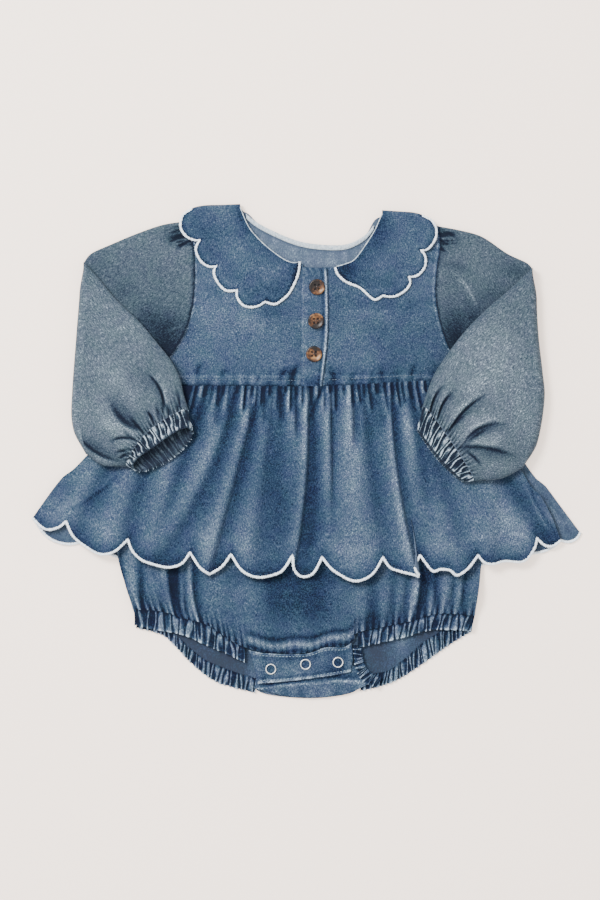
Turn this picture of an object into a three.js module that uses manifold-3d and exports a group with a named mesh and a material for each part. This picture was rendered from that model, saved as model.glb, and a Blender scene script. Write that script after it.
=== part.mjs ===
import * as THREE from "three";
import Module from "manifold-3d";

const wasm = await Module();
wasm.setup();

// Baby romper in washed denim, lying flat on its back. Millimetres, +X to the right and +Y towards
// the neck as seen from above, +Z up from the table.

const cloth = 1.2; // wall of every cloth piece
const gap = 0.3; // between layers
const seam = 0.4; // between neighbouring pieces in plan
const waistY = 52;
const hemY = -84;

const { smoothstep, lerp, clamp } = THREE.MathUtils;
const table = (columns, rows) => rows.map((row) => Object.fromEntries(columns.map((name, i) => [name, row[i]])));

// Outlines in plan

const curve = (...points) => {
  const spline = new THREE.SplineCurve(points.map(([x, y]) => new THREE.Vector2(x, y)));
  spline.arcLengthDivisions = 60;
  return (t) => spline.getPointAt(clamp(t, 0, 1));
};
const moved = (line, dx, dy) => (t) => line(t).add(new THREE.Vector2(dx, dy));

const waist = curve([-126.8, 52], [-60, 51.8], [12.2, 51.6], [99.4, 56.2], [132.4, 55.8]);
const armholeLeft = curve(
  [-123.6, 67], [-110, 75.5], [-98, 95], [-91.8, 113.6], [-90, 132], [-89.9, 151.2], [-91.5, 168], [-96.5, 184],
);
const armholeRight = curve(
  [129.2, 70], [115.6, 80], [109, 96], [104.9, 112], [103.3, 126.4], [104.2, 144.8], [106.8, 162], [105.5, 180],
);
const neckFrontLeft = [[-52, 191], [-46, 178.5], [-34.8, 165.8], [-21.2, 155.2], [-12, 150.6]];
const neckFrontRight = [[59.5, 186.5], [53.2, 174], [39.6, 154.8], [30.8, 149.8], [23.4, 147.8]];
const neckBack = [
  [-50, 191.5], [-38.8, 182.6], [-18, 172.4], [-0.4, 166.8], [21.2, 164.8], [34.8, 166.4], [47.6, 173.5], [57.6, 187],
];

// A patch stretched between four curves, (0, 0) where bottom and left start
const coons = (bottom, top, left, right) => {
  const [p00, p10, p01, p11] = [bottom(0), bottom(1), top(0), top(1)];
  return (u, v) => {
    const corners = (k) => (1 - u) * ((1 - v) * p00[k] + v * p01[k]) + u * ((1 - v) * p10[k] + v * p11[k]);
    const [b, t, l, r] = [bottom(u), top(u), left(v), right(v)];
    const mix = (k) => (1 - v) * b[k] + v * t[k] + (1 - u) * l[k] + u * r[k] - corners(k);
    return new THREE.Vector2(mix("x"), mix("y"));
  };
};

// Closed walls

const finish = { roughness: 0.9, metalness: 0 };
const denim = new THREE.MeshStandardMaterial({ color: 0x5f738d, ...finish });
const denimPale = new THREE.MeshStandardMaterial({ color: 0x7f93a2, ...finish });
const bindingWhite = new THREE.MeshStandardMaterial({ color: 0xc0c7ce, ...finish });
const tortoiseshell = new THREE.MeshStandardMaterial({ color: 0x6b5445, roughness: 0.3 });
const snapMetal = new THREE.MeshStandardMaterial({ color: 0xd9dcdc, roughness: 0.35, metalness: 1 });

const garment = new THREE.Group();

const addMesh = (name, geometry, material) => {
  geometry.computeVertexNormals();
  const mesh = new THREE.Mesh(geometry, material);
  mesh.name = name;
  garment.add(mesh);
};

// Joins closed loops of equal count into one skin. A ring of loops closes on itself, a row of loops
// is closed by a flat strip at each end.
const loft = (loops, ring) => {
  const count = loops[0].length;
  const points = loops.flat();
  const faces = [];
  const quad = (a, b, c, d) => faces.push(a, b, c, a, c, d);
  const spans = ring ? loops.length : loops.length - 1;
  for (let i = 0; i < spans; i += 1) {
    const here = i * count;
    const next = ((i + 1) % loops.length) * count;
    for (let j = 0; j < count; j += 1) {
      const k = (j + 1) % count;
      quad(here + j, next + j, next + k, here + k);
    }
  }
  if (!ring) {
    const last = (loops.length - 1) * count;
    for (let j = 0; j < count / 2 - 1; j += 1) {
      const opposite = count - 1 - j;
      quad(j, j + 1, opposite - 1, opposite);
      quad(last + j + 1, last + j, last + opposite, last + opposite - 1);
    }
  }
  let volume = 0;
  for (let i = 0; i < faces.length; i += 3) {
    const [a, b, c] = [points[faces[i]], points[faces[i + 1]], points[faces[i + 2]]];
    volume += a.dot(new THREE.Vector3().crossVectors(b, c));
  }
  if (volume < 0) faces.reverse();
  const geometry = new THREE.BufferGeometry().setFromPoints(points);
  geometry.setIndex(faces);
  return geometry;
};

// The height of a cloth's upper side over its underside, the same wall on a slope as on the flat
const topOf = (lie) => (x, y) => {
  const step = 0.5;
  const slopeX = (lie(x + step, y) - lie(x - step, y)) / (2 * step);
  const slopeY = (lie(x, y + step) - lie(x, y - step)) / (2 * step);
  return lie(x, y) + cloth * Math.min(Math.hypot(1, slopeX, slopeY), 1.5);
};

// A cloth panel: plan(u, v) gives its outline, lie(x, y) the height of its underside, and
// relief(u, v) what its upper side adds to the wall.
const panel = (name, { plan, lie, columns, rows, relief = () => 0, material = denim }) => {
  const top = topOf(lie);
  const loops = columns.map((u) => {
    const upper = [];
    const under = [];
    for (const v of rows) {
      const { x, y } = plan(u, v);
      upper.push(new THREE.Vector3(x, y, top(x, y) + relief(u, v)));
      under.unshift(new THREE.Vector3(x, y, lie(x, y)));
    }
    return [...upper, ...under];
  });
  addMesh(name, loft(loops, false), material);
};
const even = (count) => Array.from({ length: count + 1 }, (_, i) => i / count);

// Bodice

const bodiceBackLie = (x, y) => (cloth + gap) * smoothstep(y, 94, 108);
const bodiceFrontLie = (x, y) => {
  const middle = smoothstep(120 - Math.abs(x - 3), 0, 75);
  const lift = lerp(2.9, 0.5, smoothstep(y, waistY, 175));
  const soften = 0.25 * Math.sin(x / 13) * Math.sin(y / 17 + 1);
  return bodiceBackLie(x, y) + cloth + gap + 0.15 + middle * (lift + soften);
};

// Side seam and armhole of the body panels, clear of the sleeve
const sideAndArmhole = (armhole, waistEnd, dx) => {
  const points = even(11).map((t) => armhole(t).add(new THREE.Vector2(dx, -Math.abs(dx))).toArray());
  return curve(waistEnd, ...points);
};
const leftSide = sideAndArmhole(armholeLeft, [-126.8, 52], 1.3);
const rightSide = sideAndArmhole(armholeRight, [132.4, 55.8], -1.3);
const waistPart = (from, to) => (t) => waist(lerp(from, to, t));
const waistAt = (x) => {
  let [low, high] = [0, 1];
  for (let i = 0; i < 20; i += 1) {
    const middle = (low + high) / 2;
    if (waist(middle).x < x) low = middle;
    else high = middle;
  }
  return low;
};

const placketLeft = -4.4;
const placketTop = 147.2;
const frontLeftEdge = placketLeft - seam;
const tipLeft = leftSide(1).toArray();
const tipRight = rightSide(1).toArray();

panel("back_bodice", {
  plan: coons(
    waist,
    curve(tipLeft, [-72, 190.6], ...neckBack, [80, 185], tipRight),
    leftSide,
    rightSide,
  ),
  lie: bodiceBackLie,
  columns: even(12),
  rows: [0, 0.1, 0.14, 0.18, 0.23, 0.3, 0.38, 0.48, 0.6, 0.75, 0.88, 1],
});
panel("front_bodice_left", {
  plan: coons(
    waistPart(0, waistAt(frontLeftEdge)),
    curve(tipLeft, [-75, 189.5], ...neckFrontLeft, [frontLeftEdge, 149.5]),
    leftSide,
    curve([frontLeftEdge, waist(waistAt(frontLeftEdge)).y], [frontLeftEdge, 149.5]),
  ),
  lie: bodiceFrontLie,
  columns: even(9),
  rows: even(10),
});
panel("front_bodice_right", {
  plan: coons(
    waistPart(waistAt(placketLeft), 1),
    curve([placketLeft, 146.8], [16.4, 147], ...[...neckFrontRight].reverse(), [80, 184.5], tipRight),
    curve([placketLeft, waist(waistAt(placketLeft)).y], [placketLeft, 146.8]),
    rightSide,
  ),
  lie: bodiceFrontLie,
  columns: even(11),
  rows: even(10),
});

// The placket lies on the right front, its free edge to the right.
const placketLie = (x, y) => topOf(bodiceFrontLie)(x, y) + gap;
panel("placket", {
  plan: coons(
    curve([placketLeft, 52.2], [12.4, 52.2]),
    curve([placketLeft, placketTop], [16.4, placketTop - 1]),
    curve([placketLeft, 52.2], [placketLeft, placketTop]),
    curve([12.4, 52.2], [17.2, 97], [16.4, placketTop - 1]),
  ),
  lie: placketLie,
  columns: even(3),
  rows: even(11),
});

// Neck binding, on the inside of the back neckline
const bindingWidth = 3.2;
const bindingEdge = curve(...neckBack.slice(0, -1), [55, 182.5]);
panel("neck_binding", {
  plan: (u, v) => {
    const here = bindingEdge(lerp(0.03, 0.97, u));
    return here.add(new THREE.Vector2(0, (v - 1) * bindingWidth));
  },
  lie: (x, y) => topOf(bodiceBackLie)(x, y) + gap,
  columns: even(18),
  rows: [0, 0.5, 1],
  relief: (u, v) => (v === 0.5 ? 0.3 : 0),
  material: bindingWhite,
});

// Scallops: points from one cusp to the next, bulging by depth to the outside. Flat of the bulge
// rises with the power.
const scallopLine = (start, rows, samples, power = 2.3) => {
  const points = [];
  let from = new THREE.Vector2(...start);
  for (const { x, y, depth } of rows) {
    const to = new THREE.Vector2(x, y);
    const along = to.clone().sub(from);
    const outward = new THREE.Vector2(along.y, -along.x).normalize();
    for (let i = 0; i < samples; i += 1) {
      const t = i / samples;
      const bulge = depth * (1 - Math.abs(2 * t - 1) ** power);
      const base = from.clone().addScaledVector(along, t);
      points.push({ base, edge: base.clone().addScaledVector(outward, bulge) });
    }
    from = to;
  }
  points.push({ base: from, edge: from.clone() });
  return points;
};

// Collar: each half runs from the centre front over the shoulder fold and back under the back
// bodice to the centre back. Neck points are spaced along the neck curve, cusps along the edge.
const collarMid = (x, y) => {
  const shoulderLift = 1.6 * smoothstep(Math.abs(x - 4), 70, 92) * smoothstep(y, 145, 170);
  return topOf(bodiceFrontLie)(x, y) + gap + 0.2 + cloth / 2 + shoulderLift;
};
const collarBackMid = cloth / 2;

const collars = {
  collar_left: {
    neck: curve([-7.6, 150.6], [-13.2, 151.2], [-21.2, 155.4], [-34.8, 166.2], [-46, 179], [-53, 194.6]),
    start: [-7.2, 149.6],
    front: table(["x", "y", "depth"], [
      [-33.3, 119.4, -9], [-55.3, 128.8, -6], [-71.8, 148.2, -6.5], [-85, 168.9, -7], [-95, 189.6, -6.5],
    ]),
    neckBack: curve([-53, 194.6], [-38.8, 181], [-18, 171.4], [2.4, 165]),
    back: table(["x", "y", "depth"], [
      [-88, 164, -5.5], [-72, 143, -5.5], [-49, 128, -5.5], [-23, 120, -5.5], [2.4, 120, -5],
    ]),
  },
  collar_right: {
    neck: curve([24.4, 147.8], [30.8, 149.6], [39.6, 154.4], [53.2, 174], [58, 184], [60.6, 189.6]),
    start: [23.6, 146.6],
    front: table(["x", "y", "depth"], [
      [38.5, 132.4, 3], [61.8, 124.4, 6], [81.6, 139.2, 6], [91, 160.8, 6.5], [95.4, 185, 6.5],
    ]),
    neckBack: curve([60.6, 189.6], [47.6, 172.5], [34.8, 165.4], [3, 165]),
    back: table(["x", "y", "depth"], [
      [89, 161, 5.5], [74, 141, 5.5], [52, 127, 5.5], [27, 120, 5.5], [3, 120, 5],
    ]),
  },
};
const collarRows = [0, 0.4, 0.8, 1];
for (const [name, half] of Object.entries(collars)) {
  const frontEdge = scallopLine(half.start, half.front, 6);
  const shoulder = frontEdge.at(-1).edge.toArray();
  const backEdge = scallopLine(shoulder, half.back, 4);
  const frontLast = frontEdge.length - 1;
  const backLast = backEdge.length - 1;
  const stations = [
    ...frontEdge.map((edge, i) => ({ ...edge, neck: half.neck(i / frontLast), turn: 0 })),
    ...[45, 90, 135].map((turn) => ({ ...frontEdge.at(-1), neck: half.neck(1), turn })),
    ...backEdge.map((edge, i) => ({ ...edge, neck: half.neckBack(i / backLast), turn: 180 })),
  ];
  const loops = stations.map(({ base, edge, neck, turn }) => {
    const angle = THREE.MathUtils.degToRad(turn);
    const outer = [];
    const inner = [];
    for (const v of collarRows) {
      const spot = neck.clone().lerp(base, v).addScaledVector(edge.clone().sub(base), v ** 3);
      const high = turn === 180 ? collarBackMid : collarMid(spot.x, spot.y);
      const radius = (high - collarBackMid) / 2;
      const z = collarBackMid + radius * (1 + Math.cos(angle));
      const middle = new THREE.Vector3(spot.x, spot.y + radius * Math.sin(angle), z);
      const normal = new THREE.Vector3(0, Math.sin(angle), Math.cos(angle));
      outer.push(middle.clone().addScaledVector(normal, cloth / 2));
      inner.unshift(middle.clone().addScaledVector(normal, -cloth / 2));
    }
    return [...outer, ...inner];
  });
  addMesh(name, loft(loops, false), denim);
}

// Peplum and bottom

const peplumBackHem = table(["x", "y", "depth"], [
  [-172, -68, 12], [-125, -78, 12], [-77, -82, 12], [-29, -84, 12], [19, -84, 12], [67, -84, 12],
  [115, -82, 12], [162, -76, 12], [203.6, -71.4, 8], [219.4, -65.6, 4],
]);
const peplumFrontHem = table(["x", "y", "depth"], [
  [-192.4, -56, 6], [-142.8, -70.4, 14], [-93.2, -80.8, 17.5], [-60.4, -82.4, 16.5], [-11.2, -83.2, 17.5],
  [12.4, -84.8, 15], [61.2, -84.8, 18], [90.8, -83.2, 13.5], [137.2, -83.2, 15.5], [184.4, -69.6, 14],
  [203.4, -71.6, 3],
]);

// Pleats that hang from the waist seam: x at the waist and at the hem, half width at each,
// how much of the crown's height they cut, and how far down they reach (1 is the hem).
const pleats = table(["waist", "hem", "top", "low", "cut", "reach"], [
  [-119, -186, 3, 10, 0.7, 1.4],
  [-105, -150, 2.6, 8, 0.7, 0.7],
  [-91, -134, 2.6, 9, 0.7, 1.2],
  [-77, -113, 2.6, 7, 0.8, 0.6],
  [-66, -102, 2.4, 6, 0.7, 0.4],
  [-55, -92, 2.6, 8, 0.8, 1.3],
  [-38, -62, 2.6, 7, 0.9, 1.5],
  [-30, -47, 2, 4, 0.7, 0.3],
  [-21, -36, 2.6, 7, 0.8, 0.8],
  [-10, -16, 2, 4, 0.7, 0.3],
  [6, 3, 2.6, 9, 1, 2],
  [20, 20, 2, 4, 0.8, 0.3],
  [34, 38, 2.2, 6, 0.7, 0.6],
  [47, 66, 2.2, 6, 0.7, 0.7],
  [57, 78, 2, 4, 0.7, 0.3],
  [68, 94, 2.6, 7, 1, 2],
  [82, 106, 2.2, 4, 0.7, 0.35],
  [94, 136, 2.6, 8, 0.8, 1.4],
  [107, 158, 2.4, 7, 0.7, 0.6],
  [120, 182, 3, 10, 0.7, 1.4],
]);
const pressedBySleeve = table(["x", "y", "radius"], [
  [-128, 12, 62],
  [126, 12, 64],
]);

const bottomSideLeft = [[-126.8, 51.6], [-142, 0], [-151, -50], [-151.6, -81], [-145.2, -107], [-138.4, -127]];
const bottomSideRight = [[132.4, 55.4], [140, 0], [143, -50], [141, -80], [138, -110], [134.6, -132]];
const outsideBottom = (x, y) => {
  const reach = (side) => {
    const row = side.findIndex(([, sideY]) => sideY < y);
    const [a, b] = row > 0 ? [side[row - 1], side[row]] : row === 0 ? [side[0], side[0]] : [side.at(-1), side.at(-1)];
    const t = a === b ? 0 : (a[1] - y) / (a[1] - b[1]);
    return lerp(a[0], b[0], t);
  };
  return Math.max(reach(bottomSideLeft) - x, x - reach(bottomSideRight));
};

const peplumFall = (y) => clamp((waistY - y) / (waistY - hemY), 0, 1.15);
const foldHeight = (x, y) => {
  const fall = peplumFall(y);
  let height = 1;
  for (const { waist: atWaist, hem, top, low, cut, reach } of pleats) {
    const away = (x - lerp(atWaist, hem, fall)) / lerp(top, low, fall);
    const fade = 1 - smoothstep(fall, reach * 0.6, reach);
    height *= 1 - cut * fade * Math.exp(-away * away);
  }
  return height;
};
const crownHeight = (x, y) => {
  let crown = 2 + 4.5 * Math.sqrt(peplumFall(y));
  for (const { x: spotX, y: spotY, radius } of pressedBySleeve) {
    const away = Math.hypot(x - spotX, y - spotY) / radius;
    crown *= 1 - 0.8 * Math.exp(-(away ** 4));
  }
  return crown * (1 - 0.5 * smoothstep(Math.abs(x), 150, 215));
};

// Folds of the bubble bottom below the peplum: x at the hem line and at the leg band, half width
const bottomFolds = table(["hem", "leg", "half", "cut"], [
  [-132.4, -131, 2.6, 0.8], [-111, -104, 4, 1], [-88.5, -84, 3, 0.8], [-66, -62, 5, 0.4], [-29, -25, 12, 0.4],
  [22, 20, 10, 0.3], [66, 62, 5, 0.3], [95, 91, 5, 1], [110, 106, 3, 0.5], [124, 116, 3, 0.8],
]);
const bottomBackLie = (x, y) => (cloth + gap) * smoothstep(y, -116, -104);
const bottomFrontBase = 2.7 + gap + 0.1;
const bottomFrontLie = (x, y) => {
  const legLine = Math.abs(x) < 42 ? -160 : -128;
  const showing = smoothstep(-y, 94, 112);
  const rim = smoothstep(y, legLine, legLine + 16);
  const along = clamp((-y - 84) / 46, 0, 1);
  let fold = 1;
  for (const { hem, leg, half, cut } of bottomFolds) {
    const away = (x - lerp(hem, leg, along)) / half;
    fold *= 1 - cut * Math.exp(-away * away);
  }
  return bottomFrontBase + 3.6 * showing * rim * fold;
};

panel("bottom_back", {
  plan: coons(
    curve(
      [-136.8, -133], [-117, -141.6], [-104.4, -149], [-93.2, -159.4], [-81.2, -168.8], [-67.6, -174.6],
      [-53.2, -179.4], [-44.6, -187], [-35, -194], [-13.2, -197.4], [10.8, -197.8], [34.8, -194.2],
      [46, -187], [54, -180], [68.2, -175.8], [81.2, -165.6], [93.8, -154.4], [112, -143.4], [134, -134],
    ),
    moved(waist, 0, -seam),
    curve([-136.8, -133], [-145.2, -107], [-151.6, -81], [-151, -50], [-142, 0], [-126.8, 51.6]),
    curve([134, -134], [138, -110], [141, -80], [143, -50], [140, 0], [132.4, 55.4]),
  ),
  lie: bottomBackLie,
  columns: even(22),
  rows: [0, 0.06, 0.12, 0.18, 0.24, 0.3, 0.36, 0.42, 0.7, 1],
});
panel("bottom_front", {
  plan: coons(
    curve(
      [-138.4, -127], [-116.4, -128.4], [-96.6, -134.4], [-79.6, -139.3], [-61.2, -151.4], [-47.4, -157.8],
      [-31.6, -161.4], [-1.2, -161.8], [14.8, -156.8], [29.2, -156.6], [37, -152], [40.4, -145.6],
      [60.1, -141.2], [82.6, -136.4], [106.8, -130.3], [134.6, -132],
    ),
    moved(waist, 0, -seam),
    curve(...[...bottomSideLeft].reverse()),
    curve(...[...bottomSideRight].reverse()),
  ),
  lie: bottomFrontLie,
  columns: even(38),
  rows: [0, 0.07, 0.14, 0.21, 0.28, 0.35, 1],
});

// Peplum: the columns fall on the scallops' cusps, the rows crowd towards the hem.
const peplumPanel = (name, { leftEdge, rightEdge, hem, samples, rows, lie }) => {
  const line = scallopLine(leftEdge(0).toArray(), hem, samples);
  const last = line.length - 1;
  const across = (at) => (line[at].base.x - line[0].base.x) / (line[last].base.x - line[0].base.x);
  const top = moved(waist, 0, -seam);
  const shares = line.map((_, i) => across(i));
  const plan = (u, v) => {
    const i = Math.round(u * last);
    const share = shares[i];
    const upper = top(share);
    const sides = leftEdge(v).lerp(rightEdge(v), share);
    const straight = line[0].base.clone().lerp(top(0), v).lerp(line[last].base.clone().lerp(top(1), v), share);
    const spot = line[i].base.clone().lerp(upper, v).add(sides).sub(straight);
    return spot.addScaledVector(line[i].edge.clone().sub(line[i].base), (1 - v) ** 4);
  };
  panel(name, { plan, lie, columns: even(last), rows });
};
peplumPanel("peplum_back", {
  leftEdge: curve([-217, -56], [-195, -24], [-178.6, -9], [-126.8, 51.6]),
  rightEdge: curve([219.4, -65.6], [202.8, -43.2], [190.8, -27.2], [178.8, -15.2], [132.4, 55.4]),
  hem: peplumBackHem,
  samples: 5,
  rows: [0, 0.15, 1],
  lie: () => 0,
});
const peplumFrontLie = (x, y) => {
  const overBottom = 1 - smoothstep(outsideBottom(x, y), 2, 16);
  const base = lerp(cloth + gap, bottomFrontBase + cloth + gap + 0.1, overBottom);
  const overFolds = 1.6 * smoothstep(-y, 84, 98) * overBottom;
  return base + overFolds + crownHeight(x, y) * foldHeight(x, y);
};
peplumPanel("peplum_front", {
  leftEdge: curve([-219.4, -53.6], [-197.2, -23.2], [-180.4, -8.4], [-127, 51.6]),
  rightEdge: curve([203.4, -71.6], [196.4, -52.8], [186.8, -35.2], [175.6, -21.6], [132.4, 55.4]),
  hem: peplumFrontHem,
  samples: 8,
  rows: [0, 0.07, 0.16, 0.36, 0.58, 0.78, 0.9, 1],
  lie: peplumFrontLie,
});

// Leg bands: ribs on the upper side of a plain wall
const ribbed = (ribs, height) => (u) => (Math.round(u * 2 * ribs) % 2 ? height : 0);
const legBands = {
  leg_band_front_left: {
    lower: curve([-137.7, -139.4], [-124.8, -142.2], [-99, -147], [-79.6, -155.6], [-63.6, -162.4], [-49.4, -169]),
    upper: curve([-138.4, -127.6], [-116.4, -129.2], [-96.6, -135.2], [-79.6, -140.1], [-61.2, -152.4], [-50, -157.6]),
    ribs: 17,
    lie: () => bottomFrontBase,
  },
  leg_band_front_right: {
    lower: curve([40.6, -157.3], [60.1, -153.1], [81.2, -148], [102, -143], [131.5, -143.6]),
    upper: curve([41.4, -146.2], [60.1, -142], [82.6, -137.2], [106.8, -131.1], [134.6, -132.8]),
    ribs: 20,
    lie: () => bottomFrontBase,
  },
  leg_band_back_left: {
    lower: curve([-136.4, -141.5], [-116.4, -147], [-106.4, -155], [-91.8, -170.5], [-74.8, -183.6], [-59.9, -189.2], [-46, -192.4]),
    upper: curve([-136.8, -133.8], [-117.6, -142.5], [-105.2, -149.8], [-93.9, -160.2], [-81.6, -169.6], [-67.9, -175.4], [-54, -180.4], [-46.4, -186.6]),
    ribs: 19,
    lie: () => 0,
  },
  leg_band_back_right: {
    lower: curve([56, -189], [71.4, -184], [86.8, -175], [102, -164], [117.2, -153.6], [132.4, -144.2]),
    upper: curve([56, -180.6], [68.4, -176.8], [81.9, -166.4], [94.4, -155.2], [112.6, -144.2], [134, -134.8]),
    ribs: 18,
    lie: () => 0,
  },
};
for (const [name, { lower, upper, ribs, lie }] of Object.entries(legBands)) {
  panel(name, {
    plan: (u, v) => lower(u).lerp(upper(u), v),
    lie,
    columns: even(2 * ribs),
    rows: [0, 0.5, 1],
    relief: ribbed(ribs, 1.2),
  });
}

// Crotch tabs: the front one carries the snaps and lies on the back one.
const tabBackLie = () => 2.7 - cloth + 0;
const tabFrontLie = () => bottomFrontBase;
panel("crotch_tab_back", {
  plan: coons(
    curve([-42, -190], [-13.2, -196.6], [10.8, -197.2], [34.8, -193.6], [50, -186]),
    curve([-38, -170], [-1, -172], [34, -168]),
    curve([-42, -190], [-38, -170]),
    curve([50, -186], [34, -168]),
  ),
  lie: tabBackLie,
  columns: even(10),
  rows: [0, 0.5, 1],
});
panel("crotch_tab_front", {
  plan: coons(
    curve([-38.8, -186.4], [-11, -184], [19.2, -180], [35.6, -176.8]),
    curve([-46.4, -159.4], [-31.6, -162], [-1.2, -162.4], [14.8, -157.4], [29.2, -157.2], [36.2, -153.6]),
    curve([-38.8, -186.4], [-42, -173], [-46.4, -159.4]),
    curve([35.6, -176.8], [37.2, -164.8], [36.2, -153.6]),
  ),
  lie: tabFrontLie,
  columns: even(11),
  rows: even(3),
});

// Snaps: open rings, sunk to the cloth's upper side
const snap = { outer: 4.5, inner: 3.1, height: 1.1 };
const snapZ = bottomFrontBase + cloth + gap;
const snaps = table(["x", "y"], [[-28.6, -174.6], [-0.8, -170.8], [25.2, -169.2]]);
const snapProfile = [
  [snap.inner, 0], [snap.outer, 0], [snap.outer, snap.height * 0.55], [(snap.outer + snap.inner) / 2, snap.height],
  [snap.inner, snap.height * 0.55], [snap.inner, 0],
].map(([r, z]) => new THREE.Vector2(r, z));
snaps.forEach(({ x, y }, i) => {
  const geometry = new THREE.LatheGeometry(snapProfile, 18);
  geometry.rotateX(Math.PI / 2);
  geometry.translate(x, y, snapZ);
  addMesh(`snap_${i + 1}`, geometry, snapMetal);
});

// Buttons: dished discs with four holes
const button = { radius: 6.35, rim: 5, height: 2.6, dish: 1.9, hole: 0.8, pitch: 1.5 };
const buttons = table(["x", "y"], [[8.4, 131.2], [7.6, 104], [6, 77.6]]);
const buttonProfile = [
  [0, 0], [button.radius - 0.8, 0], [button.radius, 0.9], [button.radius - 0.3, 2.1], [button.radius - 0.9, button.height],
  [button.rim, button.height - 0.1], [button.rim - 0.9, button.dish], [0, button.dish],
].map(([r, z]) => new THREE.Vector2(r, z));

const toSolid = (geometry) => {
  const merged = weld(geometry);
  return new wasm.Manifold(new wasm.Mesh({
    numProp: 3,
    vertProperties: Float32Array.from(merged.attributes.position.array),
    triVerts: Uint32Array.from(merged.index.array),
  }));
};
function weld(geometry) {
  const bare = new THREE.BufferGeometry();
  const round = (value) => Math.round(value * 1e4);
  const seen = new Map();
  const positions = [];
  const source = geometry.attributes.position;
  const remap = Array.from({ length: source.count }, (_, i) => {
    const point = [source.getX(i), source.getY(i), source.getZ(i)];
    const key = point.map(round).join();
    if (!seen.has(key)) {
      seen.set(key, seen.size);
      positions.push(...point);
    }
    return seen.get(key);
  });
  const faces = [];
  const index = geometry.index.array;
  for (let i = 0; i < index.length; i += 3) {
    const [a, b, c] = [remap[index[i]], remap[index[i + 1]], remap[index[i + 2]]];
    if (a !== b && b !== c && c !== a) faces.push(a, b, c);
  }
  bare.setAttribute("position", new THREE.Float32BufferAttribute(positions, 3));
  bare.setIndex(faces);
  return bare;
}
const fromSolid = (solid) => {
  const { vertProperties, triVerts } = solid.getMesh();
  const geometry = new THREE.BufferGeometry();
  geometry.setAttribute("position", new THREE.BufferAttribute(vertProperties, 3));
  geometry.setIndex(new THREE.BufferAttribute(triVerts, 1));
  return geometry;
};

const buttonDisc = new THREE.LatheGeometry(buttonProfile, 18);
buttonDisc.rotateX(Math.PI / 2);
let buttonSolid = toSolid(buttonDisc);
for (const [dx, dy] of [[1, 1], [1, -1], [-1, 1], [-1, -1]]) {
  const hole = new THREE.CylinderGeometry(button.hole, button.hole, 2 * button.height, 6);
  hole.rotateX(Math.PI / 2);
  hole.translate(dx * button.pitch, dy * button.pitch, 0);
  buttonSolid = buttonSolid.subtract(toSolid(hole));
}
buttons.forEach(({ x, y }, i) => {
  const geometry = fromSolid(buttonSolid);
  const seats = [0, 60, 120, 180, 240, 300].map((degrees) => {
    const angle = THREE.MathUtils.degToRad(degrees);
    return topOf(placketLie)(x + button.radius * Math.cos(angle), y + button.radius * Math.sin(angle));
  });
  geometry.translate(x, y, Math.max(...seats) + gap / 2);
  addMesh(`button_${i + 1}`, geometry, tortoiseshell);
});

// Sleeves: a flattened tube from the armhole out to the elbow crease, round the crease, and back on
// top of itself to the cuff. A station is a ring of points: across its width, and lifted from its middle.
const half = 3; // of the flattened tube's height
const turnRadius = 3.3; // of the tube's middle round the crease
const axisZ = half + turnRadius;

// Points of a flattened oval, evenly spaced round it, ribs standing out of it
const oval = (width, height, count, ribHeight = 0) => {
  const squareness = 2 / 2.5;
  const dense = Array.from({ length: 241 }, (_, i) => {
    const angle = (i / 240) * 2 * Math.PI;
    const c = Math.cos(angle);
    const s = Math.sin(angle);
    const x = (width / 2 - ribHeight) * Math.sign(c) * Math.abs(c) ** squareness;
    const z = (height / 2 - ribHeight) * Math.sign(s) * Math.abs(s) ** squareness;
    return new THREE.Vector2(x, z);
  });
  const spaced = new THREE.SplineCurve(dense).getSpacedPoints(count).slice(0, count);
  return spaced.map((point, i) => {
    const ahead = spaced[(i + 1) % count];
    const behind = spaced[(i + count - 1) % count];
    const outward = new THREE.Vector2(ahead.y - behind.y, behind.x - ahead.x).normalize();
    return point.clone().addScaledVector(outward, i % 2 ? ribHeight : 0);
  });
};

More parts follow.
